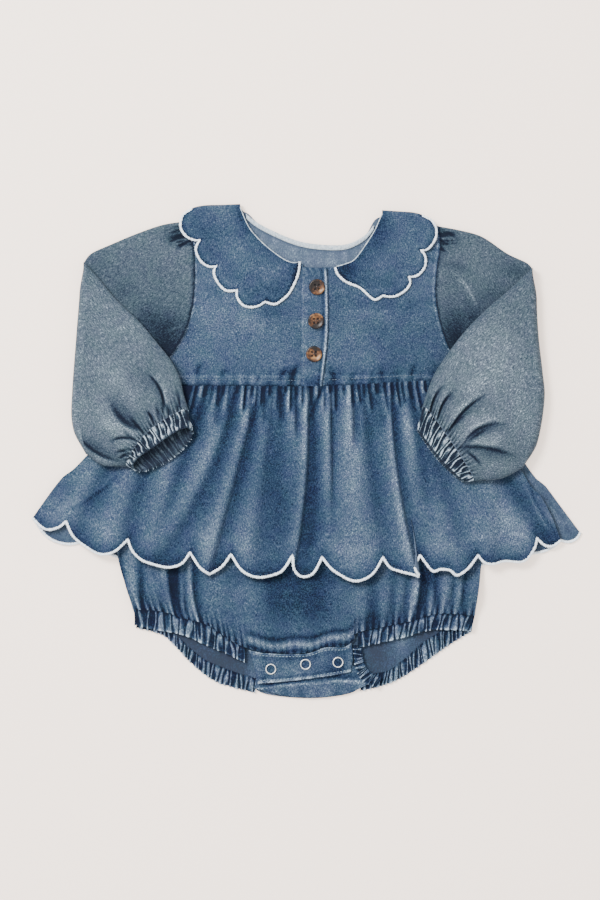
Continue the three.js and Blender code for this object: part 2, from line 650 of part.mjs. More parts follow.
const sleeves = {
  left: {
    outward: new THREE.Vector2(-1, 0),
    towardsHand: new THREE.Vector2(0.66, -0.75),
    armhole: armholeLeft,
    crease: curve([-176, -2.5], [-182, 23], [-181.4, 48], [-178.4, 88], [-173.5, 125], [-171.4, 151]),
    topEdge: curve([-96.5, 184], [-114.8, 181.3], [-135.2, 174.4], [-155.8, 165.6], [-171.4, 151]),
    underEdge: curve([-123.6, 67], [-150, 39], [-176, -2.5]),
    foldEdge: curve(
      [-171.4, 151], [-158.8, 132.4], [-139.6, 110.6], [-120.4, 90.4], [-108, 73], [-101.2, 57.6], [-95.5, 40],
    ),
    lowEdge: curve([-176, -2.5], [-162.3, -12], [-141, -15]),
    cuffSeam: curve([-141, -15], [-119, 8.5], [-95.5, 40]),
    mouth: curve([-136, -16.5], [-111.5, -1], [-91.6, 19]),
    seamLean: 5,
    mouthLean: 9.5,
    mouthHalf: 6.2,
    rise: 2.4,
    cuffStart: curve([-140.2, -15.6], [-118.5, 8], [-95, 39.2]),
  },
  right: {
    outward: new THREE.Vector2(1, 0),
    towardsHand: new THREE.Vector2(-0.68, -0.73),
    armhole: armholeRight,
    crease: curve([171, -13], [179, 10], [183.2, 42], [181.2, 63], [178.4, 89.6], [176.4, 116], [174.4, 142]),
    topEdge: curve([105.5, 180], [122, 176.4], [140.7, 170.8], [160.4, 159.7], [174.4, 142]),
    underEdge: curve([129.2, 70], [152, 38], [171, -13]),
    foldEdge: curve([174.4, 142], [160.4, 129.2], [140.4, 110.6], [124.8, 93.6], [111.6, 76], [101, 59.2], [93, 36]),
    lowEdge: curve([171, -13], [155.2, -22], [133.8, -24]),
    cuffSeam: curve([133.8, -24], [113.5, 6], [93, 36]),
    mouth: curve([125.5, -25], [107, -7.5], [88.2, 17.5]),
    seamLean: 4,
    mouthLean: 1.6,
    mouthHalf: 3.1,
    rise: 2.2,
    cuffStart: curve([133, -24.6], [112.7, 5.2], [92.4, 35]),
  },
};

const sleevePoints = 30;
const cuffRibs = 36;

// Folds that run from the elbow crease into the cuff: places across the width, and half width
const sleeveFolds = table(["elbow", "cuff", "halfWidth"], [
  [0.12, 0.2, 0.07],
  [0.36, 0.42, 0.06],
  [0.62, 0.62, 0.06],
  [0.88, 0.82, 0.06],
]);
const foldRise = 1.3;
const capRise = 1;

// What the folds add to the side of the sleeve that shows
const sleeveRelief = (part, along, across, index) => {
  if (part === "upper") {
    const bare = smoothstep(across - along, 0.15, 0.4) * (1 - smoothstep(along, 0.2, 0.45));
    return capRise * bare * (index % 2);
  }
  if (part !== "fore") return 0;
  let rise = foldRise * smoothstep(along, 0.05, 0.6) * smoothstep(Math.min(across, 1 - across), 0, 0.08);
  for (const { elbow, cuff, halfWidth } of sleeveFolds) {
    const away = (across - lerp(elbow, cuff, along)) / halfWidth;
    rise *= 1 - Math.exp(-away * away);
  }
  return rise;
};

// Along the upper arm and the forearm from 0 to 1, round the crease in degrees
const sleeveStations = table(["part", "along"], [
  ["upper", 0], ["upper", 0.1], ["upper", 0.25], ["upper", 0.5], ["turn", 0], ["turn", 45], ["turn", 90],
  ["turn", 135], ["turn", 180], ["fore", 0.25], ["fore", 0.5], ["fore", 0.75], ["fore", 0.9], ["fore", 1],
]);

for (const [side, sleeve] of Object.entries(sleeves)) {
  const upperArm = coons(sleeve.underEdge, sleeve.topEdge, sleeve.armhole, sleeve.crease);
  const forearm = coons(sleeve.lowEdge, sleeve.foldEdge, sleeve.crease, sleeve.cuffSeam);
  const cuff = coons(
    curve(sleeve.cuffStart(0).toArray(), sleeve.mouth(0).toArray()),
    curve(sleeve.cuffStart(1).toArray(), sleeve.mouth(1).toArray()),
    sleeve.cuffStart,
    sleeve.mouth,
  );
  const foreLean = (along) => sleeve.seamLean * smoothstep(along, 0.5, 1);
  const spot = (part, along, across, lift) => {
    if (part === "upper") {
      const { x, y } = upperArm(along, across);
      return new THREE.Vector3(x, y, half + lift);
    }
    if (part === "turn") {
      const angle = THREE.MathUtils.degToRad(along);
      const radius = turnRadius - lift;
      const { x, y } = sleeve.crease(across).addScaledVector(sleeve.outward, radius * Math.sin(angle));
      return new THREE.Vector3(x, y, axisZ - radius * Math.cos(angle));
    }
    if (part === "fore") {
      const lean = (foreLean(along) * lift) / half;
      const { x, y } = forearm(along, across).addScaledVector(sleeve.towardsHand, lean);
      return new THREE.Vector3(x, y, axisZ + turnRadius + sleeve.rise * smoothstep(along, 0, 0.7) - lift);
    }
    const halfHere = lerp(half, sleeve.mouthHalf, along);
    const lean = (lerp(sleeve.seamLean, sleeve.mouthLean, along) * lift) / halfHere;
    const { x, y } = cuff(along, across).addScaledVector(sleeve.towardsHand, lean);
    return new THREE.Vector3(x, y, axisZ + turnRadius + sleeve.rise - half + halfHere - lift);
  };
  const widthAt = (part, along) => {
    const ends = {
      upper: () => [upperArm(along, 0), upperArm(along, 1)],
      turn: () => [sleeve.crease(0), sleeve.crease(1)],
      fore: () => [forearm(along, 0), forearm(along, 1)],
      cuff: () => [cuff(along, 0), cuff(along, 1)],
    };
    const [a, b] = ends[part]();
    return a.distanceTo(b);
  };
  const ring = (part, along, count, wall, ribHeight) => {
    const width = widthAt(part, along);
    const halfHere = part === "cuff" ? lerp(half, sleeve.mouthHalf, along) : half;
    return oval(width - 2 * wall, 2 * (halfHere - wall), count, ribHeight).map(({ x, y }, index) => {
      const across = 0.5 + x / width;
      const shows = wall === 0 && (part === "upper" ? y > 0.5 : y < -0.5);
      const rise = shows ? sleeveRelief(part, along, across, index) : 0;
      return spot(part, along, across, y + Math.sign(y) * rise);
    });
  };
  const outer = sleeveStations.map(({ part, along }) => ring(part, along, sleevePoints, 0, 0));
  const inner = sleeveStations.map(({ part, along }) => ring(part, along, sleevePoints, cloth, 0));
  addMesh(`sleeve_${side}`, loft([...outer, ...inner.reverse()], true), denimPale);

  const cuffOuter = [0, 0.5, 1].map((along) => ring("cuff", along, 2 * cuffRibs, 0, 0.7));
  const cuffInner = [0, 1].map((along) => ring("cuff", along, 2 * cuffRibs, cloth + 0.2, 0));
  addMesh(`cuff_${side}`, loft([...cuffOuter, ...cuffInner.reverse()], true), denimPale);
}

export default garment;
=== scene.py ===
import math

import bpy
import numpy as np
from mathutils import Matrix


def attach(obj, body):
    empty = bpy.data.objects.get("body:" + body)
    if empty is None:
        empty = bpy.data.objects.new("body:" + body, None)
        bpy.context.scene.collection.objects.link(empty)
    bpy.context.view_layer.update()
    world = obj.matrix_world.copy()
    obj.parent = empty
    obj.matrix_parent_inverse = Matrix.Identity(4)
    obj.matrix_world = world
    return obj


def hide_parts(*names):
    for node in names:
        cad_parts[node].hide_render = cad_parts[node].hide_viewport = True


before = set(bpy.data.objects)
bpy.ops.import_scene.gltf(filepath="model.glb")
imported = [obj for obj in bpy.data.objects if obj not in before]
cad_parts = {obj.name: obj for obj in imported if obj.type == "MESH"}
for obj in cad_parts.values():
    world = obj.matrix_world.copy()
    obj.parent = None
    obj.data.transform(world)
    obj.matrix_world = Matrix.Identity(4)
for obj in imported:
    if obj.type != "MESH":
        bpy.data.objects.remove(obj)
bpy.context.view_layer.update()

mm = 0.001
cloth = 1.2  # wall of every cloth piece
gap = 0.3  # between layers
seam = 0.4  # between neighbouring pieces in plan
waistY = 52
hemY = -84


# Curves and patches in plan


def smooth(x, low, high):
    t = np.clip((x - low) / (high - low), 0, 1)
    return t * t * (3 - 2 * t)


def mix(a, b, t):
    return a + (b - a) * t


# A soft rise, 1 in the middle and nearly 0 from twice its half width on
def hump(away, half):
    return np.exp(-((away / half) ** 2))


def curve(*points):
    given = np.array(points, float)
    last = len(given) - 1
    place = np.linspace(0, last, 40 * last + 1)
    here = np.minimum(place.astype(int), last - 1)
    t = (place - here)[:, None]
    before = given[np.maximum(here - 1, 0)]
    start, end = given[here], given[here + 1]
    after = given[np.minimum(here + 2, last)]
    leave, arrive = (end - before) / 2, (after - start) / 2
    cubic = (2 * start - 2 * end + leave + arrive) * t**3
    square = (-3 * start + 3 * end - 2 * leave - arrive) * t**2
    path = cubic + square + leave * t + start
    steps = np.hypot(*np.diff(path, axis=0).T)
    share = np.concatenate([[0], np.cumsum(steps)]) / steps.sum()
    return lambda u: np.stack([np.interp(u, share, path[:, k]) for k in (0, 1)], -1)


def moved(line, dx, dy):
    return lambda t: line(t) + np.array([dx, dy])


def coons(bottom, top, left, right):
    corners = [side(np.array(end)) for side, end in ((bottom, 0), (bottom, 1), (top, 0), (top, 1))]

    def patch(u, v):
        u, v = np.broadcast_arrays(u, v)
        a, b = u[..., None], v[..., None]
        low = (1 - a) * corners[0] + a * corners[1]
        high = (1 - a) * corners[2] + a * corners[3]
        across = (1 - b) * bottom(u) + b * top(u)
        along = (1 - a) * left(v) + a * right(v)
        return across + along - (1 - b) * low - b * high

    return patch


# Folds. A row of foldField is a pleat that runs down the cloth: where its sharp edge lies at the
# top, middle and foot, how deep it cuts at the top and foot, how far down it reaches, and at the top
# and foot the widths of its sharp edge, its floor and its soft side.
def foldField(along, x, rows):
    height = np.ones(np.broadcast(along, x).shape)
    tone = np.zeros(height.shape)
    for row in rows:
        top, middle, foot, cutTop, cutFoot, reach, *widths = row
        path = top + (4 * middle - 3 * top - foot) * along + (2 * foot + 2 * top - 4 * middle) * along**2
        sharp, floor, soft = (mix(widths[k], widths[k + 1], along) for k in (0, 2, 4))
        away = x - path
        before = hump(np.minimum(away, 0), sharp)
        after = np.exp(-((np.maximum(away - floor, 0) / soft) ** 1.3))
        cut = np.clip(mix(cutTop, cutFoot, along), 0, 1) * (1 - smooth(along, 0.6 * reach, reach))
        height = height * (1 - cut * before * after)
        # The tone it returns paints shade on each pleat's floor and soft side and a highlight on the crest
        # beside its sharp edge
        crest = hump(away + 2.1 * sharp, 1.4 * sharp + 0.8)
        tone = tone - cut * before * after + 0.5 * cut * crest
    return height, tone


# A row of creaseField is one crease: its two ends, how far it bows, its half width, its depth
# (below 0 is a valley) and the step from its right side up to its left.
def creaseField(x, y, rows):
    height = np.zeros(np.broadcast(x, y).shape)
    for x0, y0, x1, y1, bow, half, depth, step in rows:
        dx, dy = x1 - x0, y1 - y0
        length = math.hypot(dx, dy)
        along = ((x - x0) * dx + (y - y0) * dy) / length**2
        inside = np.clip(along, 0, 1)
        side = ((y - y0) * dx - (x - x0) * dy) / length - bow * 4 * inside * (1 - inside)
        beyond = (along - inside) * length
        near = np.exp(-(beyond**2) / (half * 1.5) ** 2) * np.clip(np.sin(np.pi * inside), 0.15, 1) ** 0.7
        height = height + near * depth * hump(side, half)
        height = height + near * step * np.tanh(side / half) * hump(side, 5 * half)
    return height


# Soft darker (below 0) or paler patches of the cloth: centre, radii and amount
def patchField(x, y, rows):
    tone = np.zeros(np.broadcast(x, y).shape)
    for atX, atY, wide, high, amount in rows:
        tone = tone + amount * np.exp(-(((x - atX) / wide) ** 2) - ((y - atY) / high) ** 2)
    return tone


# Uneven ribs of cloth drawn up by elastic, from -1 in a groove to 1 on a crest
def ribWave(count):
    uneven = count + 0.12 * np.sin(2.1 * count) + 0.07 * np.sin(5.7 * count + 1)
    return np.cos(2 * np.pi * uneven) * (0.86 + 0.14 * np.sin(3.3 * count + 0.5))


# Slow unevenness of loose cloth, from about -1 to 1
def drift(x, y, size, phase=0.0):
    a = np.sin(x / size + 1.3 * np.sin(y / size * 0.7 + phase))
    b = np.sin(y / size * 1.15 + 1.1 * np.sin(x / size * 0.8 + 2 * phase) + 1)
    c = np.sin((x + y) / size * 0.63 + phase)
    return (a + b + c) / 3


def blurred(field, cells):
    for axis in (0, 1, 0, 1):
        pad = [(cells + 1, cells) if k == axis else (0, 0) for k in (0, 1)]
        total = np.cumsum(np.pad(field, pad, mode="edge"), axis=axis)
        size = 2 * cells + 1
        high = np.take(total, range(size, total.shape[axis]), axis=axis)
        low = np.take(total, range(total.shape[axis] - size), axis=axis)
        field = (high - low) / size
    return field


# Washed denim pales where it stands proud and stays dark where it lies deep; the dark in the hollows is
# partly painted shade.
def washAndShadingOf(height, cells, gain):
    return np.clip((height - blurred(height, cells)) * gain, -1, 1)


# Meshes

pieces = {}


def gridNormals(grid, ring=False):
    du = np.gradient(grid, axis=0)
    if ring:
        dv = np.roll(grid, -1, axis=1) - np.roll(grid, 1, axis=1)
    else:
        dv = np.gradient(grid, axis=1)
    normal = np.cross(du, dv)
    return normal / np.maximum(np.linalg.norm(normal, axis=2, keepdims=True), 1e-9)


def addAttribute(mesh, name, values):
    layer = mesh.attributes.new(name, "FLOAT", "POINT")
    layer.data.foreach_set("value", np.asarray(values, np.float32).ravel())


def addObject(name, mesh, material):
    piece = bpy.data.objects.new(name, mesh)
    bpy.context.scene.collection.objects.link(piece)
    if material:
        mesh.materials.append(material)
    pieces[name] = piece
    return piece


# A closed wall between an outer and an inner grid of points. A ring closes on itself in the
# grid's second direction.
def wallMesh(
    name, outer, inner, material, ring=False, uv=None, washAndShading=0, washAndShadingInside=0, reverse=0, reverseInside=1
):
    n, m = outer.shape[:2]
    index = np.arange(n * m).reshape(n, m)
    if ring:
        index = np.concatenate([index, index[:, :1]], axis=1)

    def quads(a, b, c, d):
        return np.stack([a.ravel(), b.ravel(), c.ravel(), d.ravel()], axis=1)

    face = quads(index[:-1, :-1], index[1:, :-1], index[1:, 1:], index[:-1, 1:])
    back = n * m
    faces = [face, face[:, ::-1] + back]
    rims = [index[0], index[-1, ::-1]]
    if not ring:
        rims += [index[::-1, 0], index[:, -1]]
    for rim in rims:
        faces.append(quads(rim[:-1], rim[1:], rim[1:] + back, rim[:-1] + back))
    faces = np.concatenate(faces)
    points = np.concatenate([outer.reshape(-1, 3), inner.reshape(-1, 3)]) * mm
    a, b, c, d = (points[faces[:, k]] for k in range(4))
    volume = (a * (np.cross(b, c) + np.cross(c, d))).sum()
    if volume < 0:  # the grids run the other way round
        faces = faces[:, ::-1]
    mesh = bpy.data.meshes.new(name)
    mesh.from_pydata(points.tolist(), [], faces.tolist())
    shape = (n, m)
    outside = [np.broadcast_to(v, shape).ravel() for v in (washAndShading, reverse)]
    within = [np.broadcast_to(v, shape).ravel() for v in (washAndShadingInside, reverseInside)]
    # washAndShading holds the cloth's wash together with painted shade and painted highlights, outside and
    # inside
    addAttribute(mesh, "washAndShading", np.concatenate([outside[0], within[0]]))
    addAttribute(mesh, "reverse", np.concatenate([outside[1], within[1]]))
    weave = (outer[..., :2] if uv is None else uv) * mm
    weave = np.concatenate([weave.reshape(-1, 2)] * 2)
    corners = np.empty(len(mesh.loops), np.int32)
    mesh.loops.foreach_get("vertex_index", corners)
    mesh.uv_layers.new(name="weave").data.foreach_set("uv", weave[corners].astype(np.float32).ravel())
    mesh.shade_smooth()
    mesh.set_sharp_from_angle(angle=math.radians(62))
    addObject(name, mesh, material)
    du, dv = outer[1:, :-1] - outer[:-1, :-1], outer[:-1, 1:] - outer[:-1, :-1]
    shown = np.linalg.norm(np.cross(du, dv), axis=2).sum() * mm * mm
    print(f"{name}: {len(faces) * 2} triangles, {shown:.5f} m2")


# The height of a cloth's upper side over its underside, the same wall on a slope as on the flat
def topOf(lie):
    step = 0.5

    def top(x, y):
        slopeX = (lie(x + step, y) - lie(x - step, y)) / (2 * step)
        slopeY = (lie(x, y + step) - lie(x, y - step)) / (2 * step)
        return lie(x, y) + cloth * np.minimum(np.sqrt(1 + slopeX**2 + slopeY**2), 1.5)

    return top


# A panel that lies on the layers below: plan(u, v) is its outline, top(x, y) its upper side.
def layPanel(
    name, plan, top, columns, rows, material, relief, shade=None, wall=cloth, gain=0.9, cells=6, **looks
):
    u = np.linspace(0, 1, columns + 1)[:, None] if np.isscalar(columns) else columns[:, None]
    v = np.linspace(0, 1, rows + 1)[None, :] if np.isscalar(rows) else rows[None, :]
    flat = plan(u, v)
    x, y = flat[..., 0], flat[..., 1]
    added = relief(u, v, x, y)
    z = top(x, y) + added
    # Painted shade in the relief's hollows, plus the panel's shade, which paints shade and highlights among
    # the cloth's own tone
    washAndShading = washAndShadingOf(added, cells, gain)
    if shade:
        washAndShading = washAndShading + shade(u, v, x, y)
    outer = np.dstack([x, y, z])
    inner = outer - gridNormals(outer) * wall
    wallMesh(name, outer, inner, material, washAndShading=washAndShading, **looks)
    return outer


# Materials


def srgb(*levels):
    share = [level / 255 for level in levels]
    linear = [s / 12.92 if s <= 0.04045 else ((s + 0.055) / 1.055) ** 2.4 for s in share]
    return (*linear, 1)


def addNode(tree, kind, inputs=None, **settings):
    made = tree.nodes.new(kind)
    for name, value in settings.items():
        setattr(made, name, value)
    for name, value in (inputs or {}).items():
        if isinstance(value, bpy.types.NodeSocket):
            tree.links.new(value, made.inputs[name])
        else:
            made.inputs[name].default_value = value
    return made


def newMaterial(name, **surface):
    material = bpy.data.materials.new(name)
    material.use_nodes = True
    tree = material.node_tree
    shader = tree.nodes["Principled BSDF"]
    for socket, value in surface.items():
        shader.inputs[socket.replace("_", " ")].default_value = value
    return material, tree, shader


def addedUp(tree, *terms):
    total = None
    for source, weight in terms:
        inputs = {0: source, 1: weight, 2: 0.0 if total is None else total}
        total = addNode(tree, "ShaderNodeMath", inputs, operation="MULTIPLY_ADD").outputs[0]
    return total


def noiseOf(tree, vector, scale, detail=2.0, roughness=0.5):
    inputs = {"Vector": vector, "Scale": scale, "Detail": detail, "Roughness": roughness}
    return addNode(tree, "ShaderNodeTexNoise", inputs).outputs["Fac"]


def rampOf(tree, factor, stops):
    ramp = addNode(tree, "ShaderNodeValToRGB", {"Fac": factor})
    elements = ramp.color_ramp.elements
    while len(elements) < len(stops):
        elements.new(0.5)
    for element, (place, colour) in zip(elements, stops):
        element.position = place
        element.color = colour
    return ramp.outputs["Color"]


denimLook = {
    "dark to pale": [
        (0.0, srgb(8, 15, 31)), (0.2, srgb(18, 35, 57)), (0.42, srgb(38, 54, 73)),
        (0.6, srgb(59, 71, 88)), (0.8, srgb(87, 101, 118)), (1.0, srgb(148, 165, 182)),
    ],
    "reverse": srgb(80, 91, 108),
    "level": 0.465,
    # gain of the washAndShading attribute, painted shade and highlights included
    "washAndShading": 0.42,
    "blotches": 0.14,
    "mottle": 0.22,
    "grain": 1.08,
    "slubs": 0.6,
}
fadedLook = {
    **denimLook,
    "dark to pale": [
        (0.0, srgb(12, 18, 31)), (0.2, srgb(26, 37, 50)), (0.42, srgb(44, 56, 67)),
        (0.6, srgb(61, 71, 81)), (0.8, srgb(86, 98, 109)), (1.0, srgb(149, 163, 175)),
    ],
    "level": 0.485,
    "grain": 1.0,
    "mottle": 0.16,
}


def denimMaterial(name, look):
    material, tree, shader = newMaterial(name, Roughness=0.92, Specular_IOR_Level=0.08, Sheen_Weight=0.02)
    shader.inputs["Sheen Roughness"].default_value = 0.6
    where = addNode(tree, "ShaderNodeTexCoord")
    place, weave = where.outputs["Object"], where.outputs["UV"]
    # The washAndShading attribute darkens the colour where shade is painted and pales it where wear or a
    # highlight is painted
    washAndShading = addNode(tree, "ShaderNodeAttribute", attribute_name="washAndShading").outputs["Fac"]
    reverse = addNode(tree, "ShaderNodeAttribute", attribute_name="reverse").outputs["Fac"]
    stretched = addNode(tree, "ShaderNodeMapping", {"Vector": weave, "Scale": (1.0, 0.3, 1.0)})
    threads = stretched.outputs["Vector"]
    blotches = noiseOf(tree, place, 38, 3)
    mottle = noiseOf(tree, place, 210, 3, 0.6)
    grain = noiseOf(tree, place, 1260, 1, 0.6)
    slubs = noiseOf(tree, threads, 1380, 1)
    gains = [look[part] for part in ("washAndShading", "blotches", "mottle", "grain", "slubs")]
    middle = look["level"] - sum(gains[1:]) / 2
    tone = addedUp(tree, *zip((washAndShading, blotches, mottle, grain, slubs), gains), (1.0, middle))
    colour = rampOf(tree, tone, look["dark to pale"])
    hue = noiseOf(tree, place, 90, 2)
    tinted = addNode(tree, "ShaderNodeHueSaturation", {"Color": colour, "Saturation": 1.0, "Value": 1.0})
    tree.links.new(addedUp(tree, (hue, 0.06), (1.0, 0.47)), tinted.inputs["Hue"])
    inside = addNode(tree, "ShaderNodeMix", {"Factor": addedUp(tree, (reverse, 0.55))}, data_type="RGBA")
    tree.links.new(tinted.outputs["Color"], inside.inputs["A"])
    inside.inputs["B"].default_value = look["reverse"]
    tree.links.new(inside.outputs["Result"], shader.inputs["Base Color"])
    turned = addNode(tree, "ShaderNodeMapping", {"Vector": weave, "Rotation": (0, 0, math.radians(63))})
    twill = addNode(
        tree,
        "ShaderNodeTexWave",
        {"Vector": turned.outputs["Vector"], "Scale": 420.0, "Distortion": 1.2, "Detail": 1.0},
    ).outputs["Fac"]
    rough = addedUp(tree, (twill, 0.4), (grain, 0.8), (slubs, 0.5))
    bump = addNode(tree, "ShaderNodeBump", {"Height": rough, "Strength": 0.5, "Distance": 0.0003})
    tree.links.new(bump.outputs["Normal"], shader.inputs["Normal"])
    return material


def cottonMaterial(name, pale, shaded):
    material, tree, shader = newMaterial(name, Roughness=0.85, Specular_IOR_Level=0.2, Sheen_Weight=0.15)
    place = addNode(tree, "ShaderNodeTexCoord").outputs["Object"]
    tone = noiseOf(tree, place, 700, 2)
    colour = rampOf(tree, tone, [(0.3, shaded), (0.65, pale)])
    tree.links.new(colour, shader.inputs["Base Color"])
    bump = addNode(tree, "ShaderNodeBump", {"Height": tone, "Strength": 0.3, "Distance": 0.0002})
    tree.links.new(bump.outputs["Normal"], shader.inputs["Normal"])
    return material


def tortoiseshellMaterial():
    material, tree, shader = newMaterial("tortoiseshell", Roughness=0.36, Specular_IOR_Level=0.3)
    place = addNode(tree, "ShaderNodeTexCoord").outputs["Object"]
    patches = noiseOf(tree, place, 115, 2, 0.5)
    flecks = noiseOf(tree, place, 520, 2)
    tone = addedUp(tree, (patches, 1.0), (flecks, 0.25), (1.0, -0.12))
    stops = [
        (0.42, srgb(18, 11, 9)), (0.5, srgb(40, 23, 14)),
        (0.57, srgb(78, 48, 24)), (0.68, srgb(132, 96, 58)),
    ]
    tree.links.new(rampOf(tree, tone, stops), shader.inputs["Base Color"])
    return material


def snapMaterial():
    material, tree, shader = newMaterial("snap_metal", Metallic=0.55, Roughness=0.38)
    place = addNode(tree, "ShaderNodeTexCoord").outputs["Object"]
    tone = noiseOf(tree, place, 400, 2)
    colour = rampOf(tree, tone, [(0.3, srgb(180, 184, 186)), (0.7, srgb(225, 226, 227))])
    tree.links.new(colour, shader.inputs["Base Color"])
    return material


denim = denimMaterial("washed_denim", denimLook)
fadedDenim = denimMaterial("faded_denim", fadedLook)
edgingThread = cottonMaterial("edging_thread", srgb(236, 243, 249), srgb(202, 212, 223))
bindingCotton = cottonMaterial("binding_cotton", srgb(178, 189, 197), srgb(128, 142, 156))
seamThread = cottonMaterial("seam_thread", srgb(84, 98, 114), srgb(54, 66, 82))
paleThread = cottonMaterial("pale_thread", srgb(126, 146, 160), srgb(84, 98, 112))
buttonThread = cottonMaterial("button_thread", srgb(34, 26, 24), srgb(18, 14, 14))
tortoiseshell = tortoiseshellMaterial()
snapMetal = snapMaterial()
print("materials made")

# Stitches: one Geometry Nodes tree sets a small thread at every pitch along a line


def buildStitchTree():
    tree = bpy.data.node_groups.new("stitches along a line", "GeometryNodeTree")
    face = tree.interface
    face.new_socket("Geometry", in_out="INPUT", socket_type="NodeSocketGeometry")
    for name in ("Pitch", "Length", "Width", "Height", "Turn", "Uneven"):
        face.new_socket(name, in_out="INPUT", socket_type="NodeSocketFloat")
    face.new_socket("Seed", in_out="INPUT", socket_type="NodeSocketInt")
    face.new_socket("Thread", in_out="INPUT", socket_type="NodeSocketMaterial")
    face.new_socket("Geometry", in_out="OUTPUT", socket_type="NodeSocketGeometry")
    given = tree.nodes.new("NodeGroupInput").outputs

    def node(kind, inputs=None, **settings):
        return addNode(tree, kind, inputs, **settings).outputs

    line = node("GeometryNodeMeshToCurve", {"Mesh": given["Geometry"]})["Curve"]
    spaced = tree.nodes.new("GeometryNodeResampleCurve")
    if hasattr(spaced, "mode"):
        spaced.mode = "LENGTH"
    tree.links.new(line, spaced.inputs["Curve"])
    tree.links.new(given["Pitch"], spaced.inputs["Length"])
    up = node("GeometryNodeInputNamedAttribute", {"Name": "up"}, data_type="FLOAT_VECTOR")["Attribute"]
    along = node("GeometryNodeInputTangent")["Tangent"]
    facing = node("FunctionNodeAxesToRotation", {"Primary Axis": up, "Secondary Axis": along})["Rotation"]
    low = node("ShaderNodeMath", {0: given["Uneven"], 1: -1.0}, operation="MULTIPLY")[0]
    jitter = node("FunctionNodeRandomValue", {"Min": low, "Max": given["Uneven"], "Seed": given["Seed"]})
    angle = node("ShaderNodeMath", {0: given["Turn"], 1: jitter[1]}, operation="ADD")[0]
    spin = node("FunctionNodeAxisAngleToRotation", {"Axis": (0, 0, 1), "Angle": angle})["Rotation"]
    turns = {"Rotation": facing, "Rotate By": spin}
    turned = node("FunctionNodeRotateRotation", turns, rotation_space="LOCAL")
    size = node("ShaderNodeCombineXYZ", {0: given["Length"], 1: given["Width"], 2: given["Height"]})[0]
    grow = node("FunctionNodeRandomValue", {"Min": 0.85, "Max": 1.15, "Seed": given["Seed"]})[1]
    sized = node("ShaderNodeVectorMath", {0: size, "Scale": grow}, operation="SCALE")[0]
    thread = node("GeometryNodeMeshUVSphere", {"Segments": 6, "Rings": 4, "Radius": 0.5})["Mesh"]
    copies = node(
        "GeometryNodeInstanceOnPoints",
        {"Points": spaced.outputs["Curve"], "Instance": thread, "Rotation": turned[0], "Scale": sized},
    )["Instances"]
    real = node("GeometryNodeRealizeInstances", {"Geometry": copies})["Geometry"]
    smoothed = node("GeometryNodeSetShadeSmooth", {"Geometry": real})["Geometry"]
    dyed = node("GeometryNodeSetMaterial", {"Geometry": smoothed, "Material": given["Thread"]})["Geometry"]
    out = tree.nodes.new("NodeGroupOutput")
    tree.links.new(dyed, out.inputs["Geometry"])
    return tree


stitchTree = buildStitchTree()
edging = {"Pitch": 0.5, "Length": 2.8, "Width": 0.8, "Height": 1.9, "Turn": 90, "Uneven": 9, "Seed": 3}
piping = {"Pitch": 0.6, "Length": 1.0, "Width": 0.9, "Height": 0.8, "Turn": 90, "Uneven": 12, "Seed": 8}
topstitch = {"Pitch": 2.6, "Length": 2.1, "Width": 0.55, "Height": 0.5, "Turn": 0, "Uneven": 5, "Seed": 5}


# lines: runs of points in millimetres, each with the direction that faces out of the cloth there
def sewLines(name, lines, look, thread):
    points, edges, ups = [], [], []
    for run, facing in lines:
        first = len(points)
        points += (np.asarray(run) * mm).tolist()
        ups += np.broadcast_to(facing, np.shape(run)).tolist()
        edges += [(k, k + 1) for k in range(first, len(points) - 1)]
    mesh = bpy.data.meshes.new(name)
    mesh.from_pydata(points, edges, [])
    mesh.attributes.new("up", "FLOAT_VECTOR", "POINT").data.foreach_set("vector", np.array(ups).ravel())
    row = addObject(name, mesh, None)
    modifier = row.modifiers.new("stitches", "NODES")
    modifier.node_group = stitchTree
    sizes = {**look, "Turn": math.radians(look["Turn"]), "Uneven": math.radians(look["Uneven"])}
    for part in ("Pitch", "Length", "Width", "Height"):
        sizes[part] *= mm
    sizes["Thread"] = thread
    for item in stitchTree.interface.items_tree:
        if item.in_out == "INPUT" and item.name in sizes:
            modifier[item.identifier] = sizes[item.name]
    settle(row)


# Turns the evaluated object into a plain mesh of its own
def settle(piece):
    bpy.context.view_layer.update()
    made = bpy.data.meshes.new_from_object(piece.evaluated_get(bpy.context.evaluated_depsgraph_get()))
    piece.modifiers.clear()
    piece.data = made
    made.name = piece.name


# Bodice

bodice = {
    "waist": [[-126.8, 52], [-60, 51.8], [12.2, 51.6], [99.4, 56.2], [132.4, 55.8]],
    "left armhole": [
        [-123.6, 67], [-110, 75.5], [-98, 95], [-91.8, 113.6], [-90, 132], [-89.9, 151.2], [-91.5, 168],
        [-96.5, 184],
    ],
    "right armhole": [
        [129.2, 70], [115.6, 80], [109, 96], [104.9, 112], [103.3, 126.4], [104.2, 144.8], [106.8, 162],
        [105.5, 180],
    ],
    "left front neck": [[-52, 191], [-46, 178.5], [-34.8, 165.8], [-21.2, 155.2], [-12, 150.6]],
    "right front neck": [[59.5, 186.5], [53.2, 174], [39.6, 154.8], [30.8, 149.8], [23.4, 147.8]],
    "back neck": [
        [-50, 191.5], [-38.8, 182.6], [-18, 172.4], [-0.4, 166.8], [21.2, 164.8], [34.8, 166.4],
        [47.6, 173.5], [57.6, 187],
    ],
    "placket left": -4.4,
    "placket top": 147.2,
    "placket width": 19,
    "binding": 4.0,
    "stitch line": 57.2,
}
